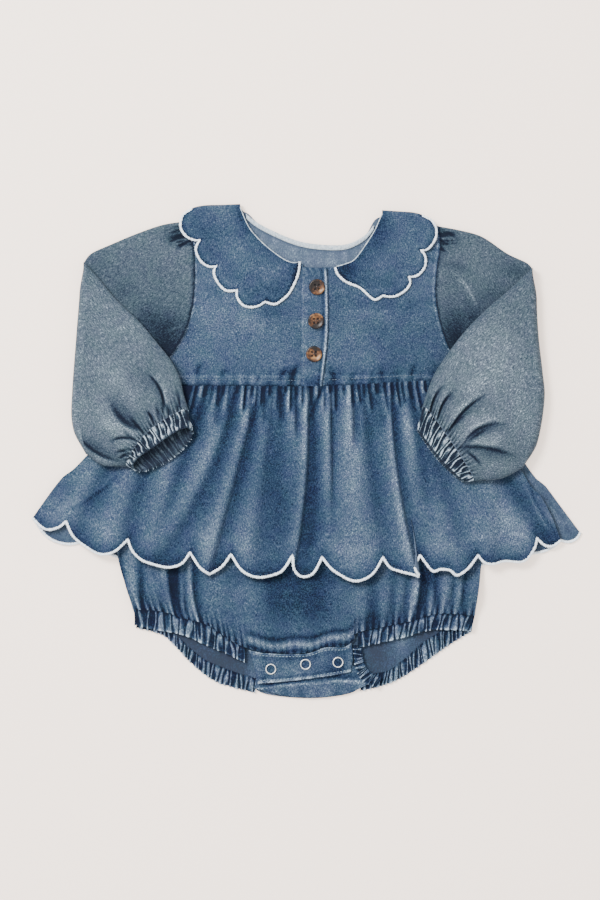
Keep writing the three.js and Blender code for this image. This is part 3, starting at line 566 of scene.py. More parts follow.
# Creases of the front: two ends, bow, half width, depth, step
bodiceCreases = [
    [-88, 60, -84, 70, 1, 2.2, -0.5, 0],
    [-70, 55, -64, 66, 1, 2, -0.5, 0],
    [-40, 54, -36, 62, 0, 1.6, -0.5, 0],
    [-22, 54, -16, 66, 1, 1.8, -0.7, 0],
    [-12, 54, -7, 70, 1, 2, -0.8, 0],
    [22, 54, 19, 66, -1, 1.8, -0.6, 0],
    [36, 55, 40, 64, 1, 2, -0.4, 0],
    [62, 56, 60, 66, 1, 2.2, -0.5, 0],
    [84, 57, 88, 70, 1, 2.4, -0.6, 0],
    [-84, 132, -66, 118, 3, 5, -0.2, 0],
    [96, 120, 78, 108, -3, 5, -0.2, 0],
    [-60, 104, -30, 96, 4, 9, 0.2, 0],
    [40, 112, 74, 104, 4, 9, 0.2, 0],
]

# Mostly painted shade beside the placket, the waist seam and the armholes and over the right side, with a
# few paler patches: centre, radii, amount
bodicePatches = [
    [72, 108, 44, 40, -0.14], [-14, 60, 11, 8, -0.55], [26, 59, 7, 7, -0.5], [-70, 58, 14, 6, -0.2],
    [60, 60, 16, 6, -0.2], [104, 62, 8, 8, -0.3], [-50, 96, 26, 18, 0.05], [24, 118, 5, 22, -0.08],
    [-84, 120, 8, 20, 0.06], [-28, 112, 14, 5, -0.25], [56, 118, 18, 5, -0.25], [-96, 100, 6, 12, -0.2],
]

waist = curve(*bodice["waist"])
armholeLeft = curve(*bodice["left armhole"])
armholeRight = curve(*bodice["right armhole"])


def bodiceBackLie(x, y):
    return (cloth + gap) * smooth(y, 94, 108)


def bodiceFrontLie(x, y):
    middle = smooth(120 - np.abs(x - 3), 0, 75)
    lift = mix(2.9, 0.5, smooth(y, waistY, 175))
    soften = 0.25 * np.sin(x / 13) * np.sin(y / 17 + 1)
    return bodiceBackLie(x, y) + cloth + gap + 0.15 + middle * (lift + soften)


def sideAndArmhole(armhole, waistEnd, dx):
    points = armhole(np.linspace(0, 1, 12)) + np.array([dx, 0])
    return curve(waistEnd, *points.tolist())


leftSide = sideAndArmhole(armholeLeft, [-126.8, 52], -0.6)
rightSide = sideAndArmhole(armholeRight, [132.4, 55.8], 0.6)
waistShare = np.linspace(0, 1, 400)


def waistAt(x):
    return float(np.interp(x, waist(waistShare)[:, 0], waistShare))


def waistPart(start, end):
    return lambda t: waist(mix(start, end, np.asarray(t)))


# Painted shade that every front part of the bodice shares: dark beside the waist seam and the armholes, in
# the puckers, creases and darker patches; drift is the cloth's uneven tone
def bodiceShade(u, v, x, y):
    dark = -0.5 * hump(y - waistY - 1, 4)
    pucker = 0.2 * hump(y - waistY - 5, 6) * np.sin(x / 1.9 + 2 * np.sin(x / 7))
    folds = 0.55 * creaseField(x, y, bodiceCreases)
    return dark + pucker + folds + 0.12 * drift(x, y, 19) + patchField(x, y, bodicePatches)


# Beside an armhole seam: a dark line of painted shade, then a paler ridge with a painted highlight
def armholeShade(edgeU):
    def shade(u, v, x, y):
        away = np.abs(u - edgeU) * 128
        ridge = 0.45 * hump(away - 2.4, 0.9) - 1.0 * hump(away, 0.9)
        return bodiceShade(u, v, x, y) + ridge * smooth(v, 0.08, 0.2)

    return shade


def bodiceRelief(u, v, x, y):
    pucker = 0.28 * np.exp(-np.maximum(y - waistY - 3, 0) / 4.5) * np.sin(x / 2.1 + 2 * np.sin(x / 9))
    strip = 0.5 * (1 - smooth(y, waistY + 8.2, waistY + 9.4))
    rolled = -1.0 * np.exp(-np.maximum(y - waistY, 0) / 0.8)
    weld = -0.35 * hump(y - bodice["stitch line"], 0.8)
    soft = 0.3 * drift(x, y, 15, 1.0) + 0.12 * drift(x, y, 6, 2.0)
    return pucker + strip + rolled + weld + soft + creaseField(x, y, bodiceCreases)


# With small puckers beside the armhole, at edgeU across the piece
def frontRelief(edgeU):
    def relief(u, v, x, y):
        near = np.exp(-np.abs(u - edgeU) * 130 / 5)
        pucker = 0.3 * near * np.sin(v * 95 + 2 * np.sin(v * 21)) * smooth(v, 0.2, 0.3)
        return bodiceRelief(u, v, x, y) + pucker

    return relief


def buildBodice():
    left, right = bodice["placket left"] + 1.5, bodice["placket left"] + 1.6
    tipLeft, tipRight = leftSide(1.0).tolist(), rightSide(1.0).tolist()
    backTop = curve(tipLeft, [-72, 190.6], *bodice["back neck"], [80, 185], tipRight)

    def backRelief(u, v, x, y):
        nearNeck = smooth(y, 140, 160)
        pucker = np.sin(x / 2.3 + 1.5 * np.sin(x / 5.1) + np.sin(y / 4))
        return nearNeck * 0.08 * pucker + 0.1 * drift(x, y, 9)

    neckLine = curve(*bodice["back neck"])(np.linspace(0, 1, 80))

    # The inside of the back shows paler, with a painted shadow under the binding and painted shade in the
    # small tucks
    def backShade(u, v, x, y):
        down = np.interp(x, neckLine[:, 0], neckLine[:, 1]) - y
        shadowUnderBinding = -0.7 * hump(down - 4.6, 1.1)
        tucks = np.clip(np.sin(x / 2.2 + 2 * np.sin(x / 6.1)), 0, 1) ** 4 * hump(down - 7, 5)
        return 0.3 + shadowUnderBinding - 0.45 * tucks

    plan = coons(waist, backTop, leftSide, rightSide)
    rows = np.concatenate([np.linspace(0, 0.8, 24), np.linspace(0.8075, 1, 26)])
    layPanel(
        "back_bodice", plan, topOf(bodiceBackLie), 120, rows, denim, backRelief, backShade,
        gain=2.5, reverse=0.75, reverseInside=0,
    )
    frontLie = topOf(bodiceFrontLie)
    plan = coons(
        waistPart(0, waistAt(left)),
        curve(tipLeft, [-75, 189.5], *bodice["left front neck"], [left, 149.5]),
        leftSide,
        curve([left, float(waist(waistAt(left))[1])], [left, 149.5]),
    )
    dense = np.linspace(0, 1, 113) ** 1.25
    layPanel("front_bodice_left", plan, frontLie, dense, 112, denim, frontRelief(0), armholeShade(0))
    plan = coons(
        waistPart(waistAt(right), 1),
        curve([right, 146.8], [16.4, 147], *reversed(bodice["right front neck"]), [80, 184.5], tipRight),
        curve([right, float(waist(waistAt(right))[1])], [right, 146.8]),
        rightSide,
    )
    dense = 1 - dense[::-1]
    layPanel("front_bodice_right", plan, frontLie, dense, 112, denim, frontRelief(1), armholeShade(1))


def placketLie(x, y):
    return topOf(bodiceFrontLie)(x, y) + gap


placketTopLie = topOf(placketLie)


def placketRelief(u, v, x, y):
    width = bodice["placket width"]
    rolled = -1.5 * np.exp(-u * width / 1.2) - 0.5 * np.exp(-(1 - u) * width / 0.5)
    fold = 0.5 * hump((1 - u) * width - 1.4, 1.1)
    row = -0.25 * hump(u * width - 2.2, 0.7)
    pull = 0.25 * np.sin(y / 4.3 + np.sin(y / 9)) * (u - 0.5)
    return 0.35 + rolled + fold + row + pull + 0.2 * drift(x, y, 7)


def buildPlacket():
    left, top, width = (bodice[f"placket {part}"] for part in ("left", "top", "width"))
    plan = coons(
        curve([left, 51.8], [12.4, 51.8]),
        curve([left, top], [16.4, top - 1]),
        curve([left, 51.8], [left, top]),
        curve([12.4, 51.8], [17.2, 97], [16.4, top - 1]),
    )

    # Paints a highlight on the folded right edge and shade just inside it, shade at the foot and the top,
    # and the shade of the top's puckers and pulls
    def shade(u, v, x, y):
        crease = 0.75 * hump((1 - u) * width - 1.0, 0.8) - 0.45 * hump((1 - u) * width - 3.4, 1.2)
        foot = -0.4 * hump(y - 54, 5) - 0.3 * hump(y - 147, 4)
        edge = 0.2 * hump(u * width, 1.2)
        pucker = 0.5 * np.sin(x * 1.25 + 0.5 * y) * np.exp(-np.maximum(147 - y, 0) / 3.5)
        pulls = 0.16 * np.sin(y / 2.2 + 2 * np.sin(y / 6)) * (1 - u)
        return crease + foot + edge + pucker + pulls + 0.15 * drift(x, y, 8)

    layPanel("placket", plan, placketTopLie, 38, 120, denim, placketRelief, shade, cells=4)


def buildBinding():
    edge = curve(*bodice["back neck"][:-1], [55, 182.5])
    width = bodice["binding"]

    def plan(u, v):
        u, v = np.broadcast_arrays(u, v)
        here = edge(mix(0.02, 0.98, u))
        return here + np.stack([0 * u, (v - 1) * width], -1)

    def relief(u, v, x, y):
        rounded = 0.7 * np.sqrt(np.clip(1 - (2 * v - 1) ** 2, 0, 1)) - 0.5
        return rounded + 0.16 * np.sin(u * 210 + 2 * np.sin(u * 37)) * np.sin(np.pi * v)

    def top(x, y):
        return topOf(bodiceBackLie)(x, y) + gap + 0.9

    layPanel("neck_binding", plan, top, 200, 8, bindingCotton, relief, wall=0.8)


buildBodice()
buildPlacket()
buildBinding()
print("bodice laid")

# Collar: each half runs from the centre front over the shoulder fold and back under the back bodice
collar = {
    "collar_left": {
        "neck": [[-7.6, 150.6], [-13.2, 151.2], [-21.2, 155.4], [-34.8, 166.2], [-46, 179], [-53, 194.6]],
        "scallops": [
            [[-5.7, 151.2], [-6.2, 145], [-8.4, 137.2], [-14, 126.4], [-20.4, 120.4],
            [-25.7, 117.6], [-33.3, 119.6]],
            [[-33.3, 119.6], [-38, 116.6], [-44.4, 115.2], [-51.2, 117.2], [-55.3, 123.2], [-55.3, 129]],
            [[-55.3, 129], [-60.5, 128.2], [-65.2, 129], [-70.5, 134.4], [-74, 142.6], [-71.8, 148.4]],
            [[-71.8, 148.4], [-76, 147.6], [-80.4, 148.8], [-85.6, 153.6], [-88.4, 162], [-85, 169]],
            [
                [-85, 169], [-90.5, 169.2], [-96.4, 172.2], [-100.3, 178], [-100.4, 184.6], [-97.4, 190],
                [-91.9, 193.2],
            ],
        ],
        "neck behind": [[-53, 194.6], [-38.8, 181], [-18, 171.4], [2.4, 165]],
        "back": [[-88, 164, -5.5], [-72, 143, -5.5], [-49, 128, -5.5], [-23, 120, -5.5], [2.4, 120, -5]],
        # Painted shade at the front end, and darker or paler patches: centre, radii, amount
        "patches": [
            [-9, 141, 5, 14, -0.85], [-20, 131, 8, 6, -0.25], [-62, 176, 22, 6, -0.15],
            [-58, 160, 14, 12, 0.1],
            [-30, 140, 10, 10, 0.05], [-52, 188, 6, 8, -0.3],
        ],
    },
    "collar_right": {
        "neck": [[24.4, 147.8], [30.8, 149.6], [39.6, 154.4], [53.2, 174], [58, 184], [60.6, 189.6]],
        "scallops": [
            [[23.4, 146.8], [24.6, 142.4], [28, 138.4], [32, 135.4], [37.2, 133.2]],
            [[37.2, 133.2], [43.6, 130.4], [50.6, 124], [55.2, 121.2], [61.1, 124.6]],
            [[61.1, 124.6], [67, 123.6], [73, 124.8], [79.6, 129.2], [82.8, 134.4], [81.7, 139.6]],
            [[81.7, 139.6], [86, 139.8], [90.3, 141.8], [94.8, 148], [94.8, 156], [91, 161]],
            [[91, 161], [95, 161], [98.6, 163.2], [103, 170], [103.6, 177.8], [99.9, 184.4], [93, 187.8]],
        ],
        "neck behind": [[60.6, 189.6], [47.6, 172.5], [34.8, 165.4], [3, 165]],
        "back": [[89, 161, 5.5], [74, 141, 5.5], [52, 127, 5.5], [27, 120, 5.5], [3, 120, 5]],
        # Painted shade at the front end, and darker or paler patches: centre, radii, amount
        "patches": [
            [30, 144, 9, 8, -0.85], [46, 140, 10, 8, -0.25], [62, 176, 8, 12, -0.3], [80, 168, 12, 10, 0.05],
            [66, 134, 10, 6, -0.15],
        ],
    },
}


# From one cusp to the next, bulging by depth to the outside
def scallopLine(start, rows, samples, power=2.3):
    base, edge = [], []
    here = np.array(start, float)
    t = np.arange(samples) / samples
    for x, y, depth in rows:
        there = np.array([x, y], float)
        along = there - here
        outward = np.array([along[1], -along[0]]) / np.hypot(*along)
        chord = here + t[:, None] * along
        base.append(chord)
        edge.append(chord + (depth * (1 - np.abs(2 * t - 1) ** power))[:, None] * outward)
        here = there
    base.append(here[None])
    edge.append(here[None])
    return np.concatenate(base), np.concatenate(edge)


# The line between cusps through the points that shape each scallop, about one column a millimetre
def hemLine(scallops, step=1.05):
    base, edge = [], []
    for points in scallops:
        start, end = np.array(points[0], float), np.array(points[-1], float)
        count = max(6, round(np.hypot(*(end - start)) / step))
        t = np.arange(count) / count
        base.append(start + t[:, None] * (end - start))
        edge.append(curve(*points)(t))
    last = np.array(scallops[-1][-1], float)[None]
    return np.concatenate([*base, last]), np.concatenate([*edge, last])


def collarMid(x, y):
    shoulderLift = 1.6 * smooth(np.abs(x - 4), 70, 92) * smooth(y, 145, 170)
    return topOf(bodiceFrontLie)(x, y) + gap + 0.2 + cloth / 2 + shoulderLift


collarBackMid = cloth / 2
collarDepth = 45  # from the neck to the scallops


def buildCollar(name, half):
    base, edge = hemLine(half["scallops"], 0.9)
    backBase, backEdge = scallopLine(edge[-1], half["back"], 14)
    turns = np.radians(np.arange(15, 180, 15))
    frontNeck = curve(*half["neck"])(np.linspace(0, 1, len(base)))
    backNeck = curve(*half["neck behind"])(np.linspace(0, 1, len(backBase)))
    bends = len(turns)
    base = np.concatenate([base, np.repeat(base[-1:], bends, axis=0), backBase])
    edge = np.concatenate([edge, np.repeat(edge[-1:], bends, axis=0), backEdge])
    neck = np.concatenate([frontNeck, np.repeat(frontNeck[-1:], bends, axis=0), backNeck])
    angle = np.concatenate([np.zeros(len(frontNeck)), turns, np.full(len(backNeck), np.pi)])[:, None]
    v = np.linspace(0, 1, 25)[None, :, None]
    flat = mix(neck[:, None], base[:, None], v) + (edge - base)[:, None] * v**3
    x, y = flat[..., 0], flat[..., 1]
    v = v[..., 0]
    high = np.where(angle > 3.1, collarBackMid, collarMid(x, y))
    radius = (high - collarBackMid) / 2
    showing = np.cos(angle / 2) ** 2
    rim = np.hypot(*np.moveaxis(flat - edge[:, None], -1, 0))
    relief = 0.35 * hump(rim - 4.5, 3) - 0.2 * hump(rim, 1.6)
    relief = relief + 0.3 * drift(x, y, 11, 0.7) + 0.5 * np.sin(np.pi * v) ** 2
    z = collarBackMid + radius * (1 + np.cos(angle)) + relief * showing * np.cos(angle)
    middle = np.dstack([x, y + radius * np.sin(angle) * (1 - 0.8 * v**5), z])
    normal = np.dstack([0 * x, np.sin(angle) + 0 * x, np.cos(angle) + 0 * x])
    # Darker beside the edging, partly unfaded cloth and partly painted shade, painted shade in the relief's
    # hollows, and darker along the neck
    washAndShading = washAndShadingOf(relief, 5, 0.9) - 0.6 * hump(rim, 3.4) + 0.14 * drift(x, y, 12) - 0.12
    washAndShading = washAndShading - 0.2 * hump(v * collarDepth, 5) + patchField(x, y, half["patches"])
    uv = np.dstack([x, y * np.where(angle > 1.6, -1, 1)])
    outer, inner = middle + normal * cloth / 2, middle - normal * cloth / 2
    wallMesh(name, outer, inner, denim, uv=uv, washAndShading=washAndShading, reverseInside=0.6)
    sewLines(f"{name}_edging", [(middle[:, -1], normal[:, -1])], edging, edgingThread)
    neckEdge = middle[: len(frontNeck), 0] + normal[: len(frontNeck), 0] * 0.4
    sewLines(f"{name}_piping", [(neckEdge, normal[: len(frontNeck), 0])], piping, bindingCotton)


for name, half in collar.items():
    buildCollar(name, half)
print("collar turned")

# Peplum and bottom

peplum = {
    "front hem": [
        [[-219.4, -53.6], [-209.2, -62.4], [-199, -61.2], [-192.4, -56]],
        [[-192.4, -56], [-186.8, -68], [-177.2, -76], [-165.2, -82.4], [-153.2, -80], [-142.8, -70.4]],
        [
            [-142.8, -70.4], [-139.6, -79.2], [-133.2, -86], [-125.2, -89.6], [-110.8, -92.8],
            [-99.6, -89.6],
            [-93.2, -80.8],
        ],
        [[-93.2, -80.8], [-85.2, -92.8], [-77.2, -98.4]],
        [[-77.2, -98.4], [-67.6, -92], [-60.4, -82.4]],
        [
            [-60.4, -82.4], [-53.2, -93.6], [-45.2, -99.2], [-35.6, -100.8], [-22.8, -97.6], [-17.2, -92.8],
            [-11.2, -83.2],
        ],
        [[-11.2, -83.2], [-9.2, -95.2], [-3.6, -100.4], [5.2, -97.6], [12.4, -84.8]],
        [
            [12.4, -84.8], [19.6, -93.6], [27.6, -99.2], [35.6, -103.2], [43.6, -103.2], [53.2, -97.6],
            [61.2, -84.8],
        ],
        [[61.2, -84.8], [66.8, -92.8], [74.8, -96], [84.4, -98.4], [90, -100]],
        [[90, -100], [86.6, -93.6], [90.8, -83.2]],
        [
            [90.8, -83.2], [94.8, -88.8], [101.2, -96], [106.8, -94.4], [114.8, -95.2], [120.4, -99.2],
            [129.2, -93.6], [137.2, -83.2],
        ],
        [
            [137.2, -83.2], [142, -88.8], [149.2, -90.4], [158.8, -88], [170.8, -88.8], [177.2, -85.6],
            [182.8, -76.8], [184.4, -69.6],
        ],
        [[184.4, -69.6], [190.8, -75.2], [197.2, -76], [203.4, -71.6]],
    ],
    "front left": [[-219.4, -53.6], [-197.2, -23.2], [-180.4, -8.4], [-127, 51.6]],
    "front right": [[203.4, -71.6], [196.4, -52.8], [186.8, -35.2], [175.6, -21.6], [132.4, 55.4]],
    "back left": [[-217, -56], [-195, -24], [-178.6, -9], [-126.8, 51.6]],
    "back right": [[219.4, -65.6], [202.8, -43.2], [190.8, -27.2], [178.8, -15.2], [132.4, 55.4]],
    "back hem": [
        [-172, -68, 12], [-125, -78, 12], [-77, -82, 12], [-29, -84, 12], [19, -84, 12], [67, -84, 12],
        [115, -82, 12], [162, -76, 12], [203.6, -71.4, 8], [219.4, -65.6, 4],
    ],
    "pressed by the sleeves": [[-128, 12, 62], [126, 12, 64]],
    # Pleats, as foldField takes them: waist, middle, hem; cut; reach; sharp; floor; soft
    "pleats": [
        [-119, -160, -190, 0.5, 0.4, 2, 6, 8, 0, 0, 10, 20],
        [-104, -129, -144, 0.7, 0.45, 1.4, 5, 9, 0, 0, 8, 16],
        [-96, -102, -110, 0.8, 0, 0.35, 2, 3, 2, 2, 4, 4],
        [-78, -101, -118, 0.9, 0.35, 1.1, 3, 8, 1, 0, 6, 10],
        [-70, -74, -80, 0.85, 0, 0.3, 2.5, 4, 2, 0, 4, 4],
        [-56.5, -74.5, -112, 0.95, 0.45, 1.5, 2.5, 9, 0, 0, 5, 16],
        [-44, -46, -48, 0.6, 0, 0.3, 2, 2, 1, 1, 3, 3],
        [-36, -53.4, -71, 0.8, 0.65, 2, 2.5, 4.5, 1, 2.5, 6, 12],
        [-33, -34, -34, 0.7, 0, 0.28, 2, 2, 0, 0, 3, 3],
        [-25, -30.5, -35, 0.5, 0.4, 1.5, 2, 8, 6, 12, 4, 12],
        [-20.5, -21, -21, 0.75, 0, 0.26, 1.6, 2, 0, 0, 3.5, 4],
        [-8.5, -6, -4, 0.9, 0, 0.36, 2.2, 2.2, 0, 0, 2.5, 2.5],
        [1.2, 1.6, -6.5, 0.95, 0.6, 4, 1.4, 2.4, 1.5, 9, 3, 9],
        [13.5, -15, -43.5, 0.9, 0, 0.22, 2, 2, 0, 0, 2.2, 2.2],
        [20, 21.5, 22, 0.95, 0.2, 0.9, 1.8, 3, 0, 0, 2.6, 4],
        [38.5, 39.5, 41, 0.95, 0, 0.42, 2.2, 3, 2, 2, 2.6, 4],
        [47, 54, 68, 0.75, 0.35, 1.5, 2.5, 12, 0, 0, 3.5, 10],
        [57, 58, 60, 0.4, 0, 0.3, 5, 6, 6, 6, 2, 3],
        [68.2, 74, 87.4, 0.95, 0.7, 4, 1.4, 2.6, 1, 3, 3, 14],
        [83.5, 94, 104, 0.95, 0.3, 1, 2.5, 9, 1, 0, 3, 8],
        [97, 108, 134, 0.5, 0.45, 1.5, 5, 14, 0, 0, 7, 14],
        [104, 132, 160, 0.4, 0.1, 0.9, 6, 8, 0, 0, 10, 12],
        [112, 156, 203, 0.55, 0.5, 2, 7, 10, 0, 2, 7, 8],
    ],
    "gathers": {"first": -124, "pitch": 5.3, "count": 48, "cut": 0.8},
    # Fold lines and puckers in tone alone, mostly painted shade and highlights, as creaseField takes them
    "marks": [
        [-149, -17, -191, -47, 3, 1.8, -0.5, -0.15], [200, -48, 208, -56, 0, 2, -0.6, 0],
        [204, -60, 214, -66, 0, 2, -0.7, 0], [190, -36, 198, -44, 0, 2, -0.4, 0],
        [176, -22, 202, -70, -2, 1, -0.5, 0], [173, -22, 199, -71, -2, 0.9, 0.4, 0],
        [-130, -60, -60, -74, 2, 3, 0.12, 0], [20, -78, 60, -80, 0, 3, 0.12, 0],
        [110, -70, 170, -66, 0, 3, 0.14, 0],
    ],
    # Darker or paler patches, among them painted shadows beside the forearms: centre, radii, amount
    "patches": [
        [-98, 42, 9, 14, -0.9], [-80, 20, 14, 22, -0.1], [-120, -50, 40, 20, 0.1],
        [-176, -50, 26, 12, 0.12], [-165, -80, 16, 6, -0.35],
        [-60, -60, 14, 20, 0.08], [58, -40, 14, 40, -0.05], [100, -20, 12, 30, 0.14],
        [120, -55, 32, 30, 0.3], [168, -58, 24, 14, 0.22], [196, -52, 12, 12, 0.2],
        [-130, -84, 12, 5, -0.3], [112, -90, 10, 6, -0.3], [190, -62, 12, 8, -0.3], [84, 40, 6, 12, -0.5],
    ],
}


def gatherRows():
    gathers = peplum["gathers"]
    rows = []
    for k in range(gathers["count"]):
        x = gathers["first"] + gathers["pitch"] * k + 1.3 * math.sin(5.1 * k)
        reach = 0.12 + 0.07 * math.sin(2.7 * k + 1)
        spread = x * 0.3 + 5 * math.sin(3.3 * k)
        cut = gathers["cut"] * (1 + 0.4 * math.sin(1.9 * k))
        rows.append([x, x + spread / 2, x + spread, cut, 0, reach, 0.9, 1.6, 0.6, 0.5, 1.4, 3])
    return rows


waistGathers = gatherRows()
bottom = {
    "length": 190,
    "back length": 200,
    "ribs": 54,
    "back ribs": 50,
    "left": [[-126.8, 51.6], [-142, 0], [-151, -50], [-151.6, -81], [-145.2, -107], [-138.4, -127]],
    "right": [[132.4, 55.4], [140, 0], [143, -50], [141, -80], [138, -110], [134.6, -132]],
    "front edge": [
        [-138.4, -127], [-116.4, -128.4], [-96.6, -134.4], [-79.6, -139.3], [-61.2, -151.4], [-47.4, -157.8],
        [-31.6, -161.4], [-1.2, -161.8], [14.8, -156.8], [29.2, -156.6], [37, -152], [40.4, -145.6],
        [60.1, -141.2], [82.6, -136.4], [106.8, -130.3], [134.6, -132],
    ],
    "back edge": [
        [-136.8, -133], [-117, -141.6], [-104.4, -149], [-93.2, -159.4], [-81.2, -168.8], [-67.6, -174.6],
        [-53.2, -179.4], [-44.6, -187], [-35, -194], [-13.2, -197.4], [10.8, -197.8], [34.8, -194.2],
        [46, -187], [54, -180], [68.2, -175.8], [81.2, -165.6], [93.8, -154.4], [112, -143.4], [134, -134],
    ],
    # Painted shadow under the peplum's hem and across the middle, and darker or paler patches of the cloth:
    # centre, radii, amount
    "patches": [
        [-8, -122, 26, 20, -0.75], [0, -101, 70, 8, -0.5], [-50, -112, 14, 12, 0.14],
        [52, -136, 20, 8, -0.4], [22, -108, 12, 8, 0.12],
        [-66, -118, 16, 16, 0.06], [88, -112, 7, 14, 0.16], [118, -110, 12, 12, 0.1],
        [-112, -112, 5, 14, -0.5],
        [-20, -152, 40, 7, -0.2], [-124, -112, 8, 14, 0.12], [-142, -110, 4, 16, 0.1],
    ],
    # Painted light and shade on the inside of the back seen through the leg openings: centre, radii, amount
    "back patches": [
        [76, -150, 7, 14, 0.9], [56, -160, 8, 16, -0.5], [98, -144, 12, 8, -0.6], [-90, -150, 20, 8, -0.4],
        [-62, -166, 10, 8, -0.3], [-78, -156, 9, 6, 0.35],
    ],
    # Folds from under the peplum's hem to the leg bands, as foldField takes them
    "folds": [
        [-149.5, -146, -141, 0.8, 0.8, 2, 1, 1, 0, 0, 1.6, 1.6],
        [-132.4, -132.6, -131, 0.45, 1, 2, 4, 1.6, 0.5, 1, 3, 1.6],
        [-111.6, -108.4, -104.4, 1, 1, 2, 2, 2, 8, 3.5, 2, 2],
        [-97.5, -97, -96.5, 0, 0.8, 2, 2, 1.6, 0, 0, 2, 1.6],
        [-90, -90, -84.4, 0.75, 0.9, 2, 1.3, 1.3, 0.6, 0.6, 7, 3],
        [-57, -59, -62, 0.25, 0.25, 2, 12, 12, 0, 0, 14, 14],
        [-28, -27, -25, 0.25, 0.15, 2, 10, 10, 0, 0, 12, 12],
        [12, 10, 7, 0.2, 0.2, 2, 9, 9, 0, 0, 12, 12],
        [53, 52.6, 52, 0, 0.7, 2, 5, 4, 2, 3, 5, 4],
        [71, 70, 68, 0.15, 0.6, 2, 5, 3, 0, 0, 5, 3],
        [82, 80, 76, 0.15, 0.6, 2, 3, 2, 0, 0, 3, 2],
        [91, 92, 86, 1, 1, 2, 2, 1.8, 7, 3, 5, 3],
        [103, 103.6, 104.4, 0.3, 0.9, 2, 3, 1.8, 0, 0, 4, 2.5],
        [119.5, 118, 114, 0.35, 0.7, 2, 4, 2, 0, 0, 4, 3],
        [128, 126.4, 123, 0.5, 0.85, 2, 2.5, 1.5, 0, 0, 4, 2.5],
    ],
}
bottomFrontBase = 2.7 + gap + 0.1


def outsideBottom(x, y):
    left, right = (np.array(bottom[side])[::-1] for side in ("left", "right"))
    leftX = np.interp(y, left[:, 1], left[:, 0])
    rightX = np.interp(y, right[:, 1], right[:, 0])
    return np.maximum(leftX - x, x - rightX)


def peplumFall(y):
    return np.clip((waistY - y) / (waistY - hemY), 0, 1.15)


def crownHeight(x, y):
    crown = 2 + 4.5 * np.sqrt(peplumFall(y))
    for spotX, spotY, radius in peplum["pressed by the sleeves"]:
        away = np.hypot(x - spotX, y - spotY) / radius
        crown = crown * (1 - 0.8 * np.exp(-(away**4)))
    return crown * (1 - 0.5 * smooth(np.abs(x), 150, 215))


def foldHeight(x, y):
    fall = peplumFall(y)
    return foldField(fall, x, peplum["pleats"])[0] * foldField(fall, x, waistGathers)[0]


def peplumFrontLie(x, y):
    overBottom = 1 - smooth(outsideBottom(x, y), 2, 16)
    base = mix(cloth + gap, bottomFrontBase + cloth + gap + 0.1, overBottom)
    overFolds = 1.6 * smooth(-y, 84, 98) * overBottom
    return base + overFolds + crownHeight(x, y) * foldHeight(x, y)


def bottomBackLie(x, y):
    return (cloth + gap) * smooth(y, -116, -104)


def legLine(x):
    line = np.array(bottom["front edge"])
    return np.interp(x, line[:, 0], line[:, 1])


def bottomFall(x, y):
    return np.clip((-84 - y) / (-84 - legLine(x)), 0, 1)


def bottomFrontLie(x, y):
    rim = smooth(y - legLine(x), 0, 16)
    folds = foldField(bottomFall(x, y), x, bottom["folds"])[0]
    return bottomFrontBase + 3.6 * smooth(-y, 94, 112) * rim * folds


# The top row reaches a little way under the waist seam.
def tuckedUnder(plan, lift=0.8):
    return lambda u, v: plan(u, v) + (np.asarray(v) ** 30)[..., None] * np.array([0, lift])


def peplumPlan(base, edge, leftEdge, rightEdge):
    top = moved(waist, 0, -seam)
    last = len(base) - 1
    share = (base[:, 0] - base[0, 0]) / (base[-1, 0] - base[0, 0])

    def plan(u, v):
        at = np.round(u[:, 0] * last).astype(int)
        s, b, e = share[at][:, None, None], base[at][:, None], edge[at][:, None]
        v = v[0]
        sides = mix(leftEdge(v)[None], rightEdge(v)[None], s)
        v = v[None, :, None]
        straight = mix(mix(base[0], top(0.0), v), mix(base[-1], top(1.0), v), s)
        spot = mix(b, top(share[at])[:, None], v) + sides - straight
        return spot + (e - b) * (1 - v) ** 4

    return tuckedUnder(plan), last


# Dark just inside the hem's edging, a paler band above it, painted shade under the waist seam, and painted
# shade and highlights in the pleats, gathers and marks
def peplumShade(hemPoints, folded):
    def shade(u, v, x, y):
        gapToHem = np.hypot(x - hemPoints[:, None, 0], y - hemPoints[:, None, 1])
        nearHem = -(0.5 + 0.25 * drift(x, y, 21)) * hump(gapToHem, 6)
        band = 0.12 * hump(gapToHem - 19, 6)
        shadeUnderWaist = -0.4 * hump(waistY - y, 5)
        tone = nearHem + band + shadeUnderWaist + 0.12 * drift(x, y, 17, 0.4) + patchField(x, y, peplum["patches"])
        if folded:
            fall = peplumFall(y)
            folds = 1.05 * foldField(fall, x, peplum["pleats"])[1]
            gathers = 1.6 * foldField(fall, x, waistGathers)[1]
            tone = tone + np.clip(folds + gathers, -1.3, 0.8)
        tone = tone + creaseField(x, y, peplum["marks"])
        return tone

    return shade


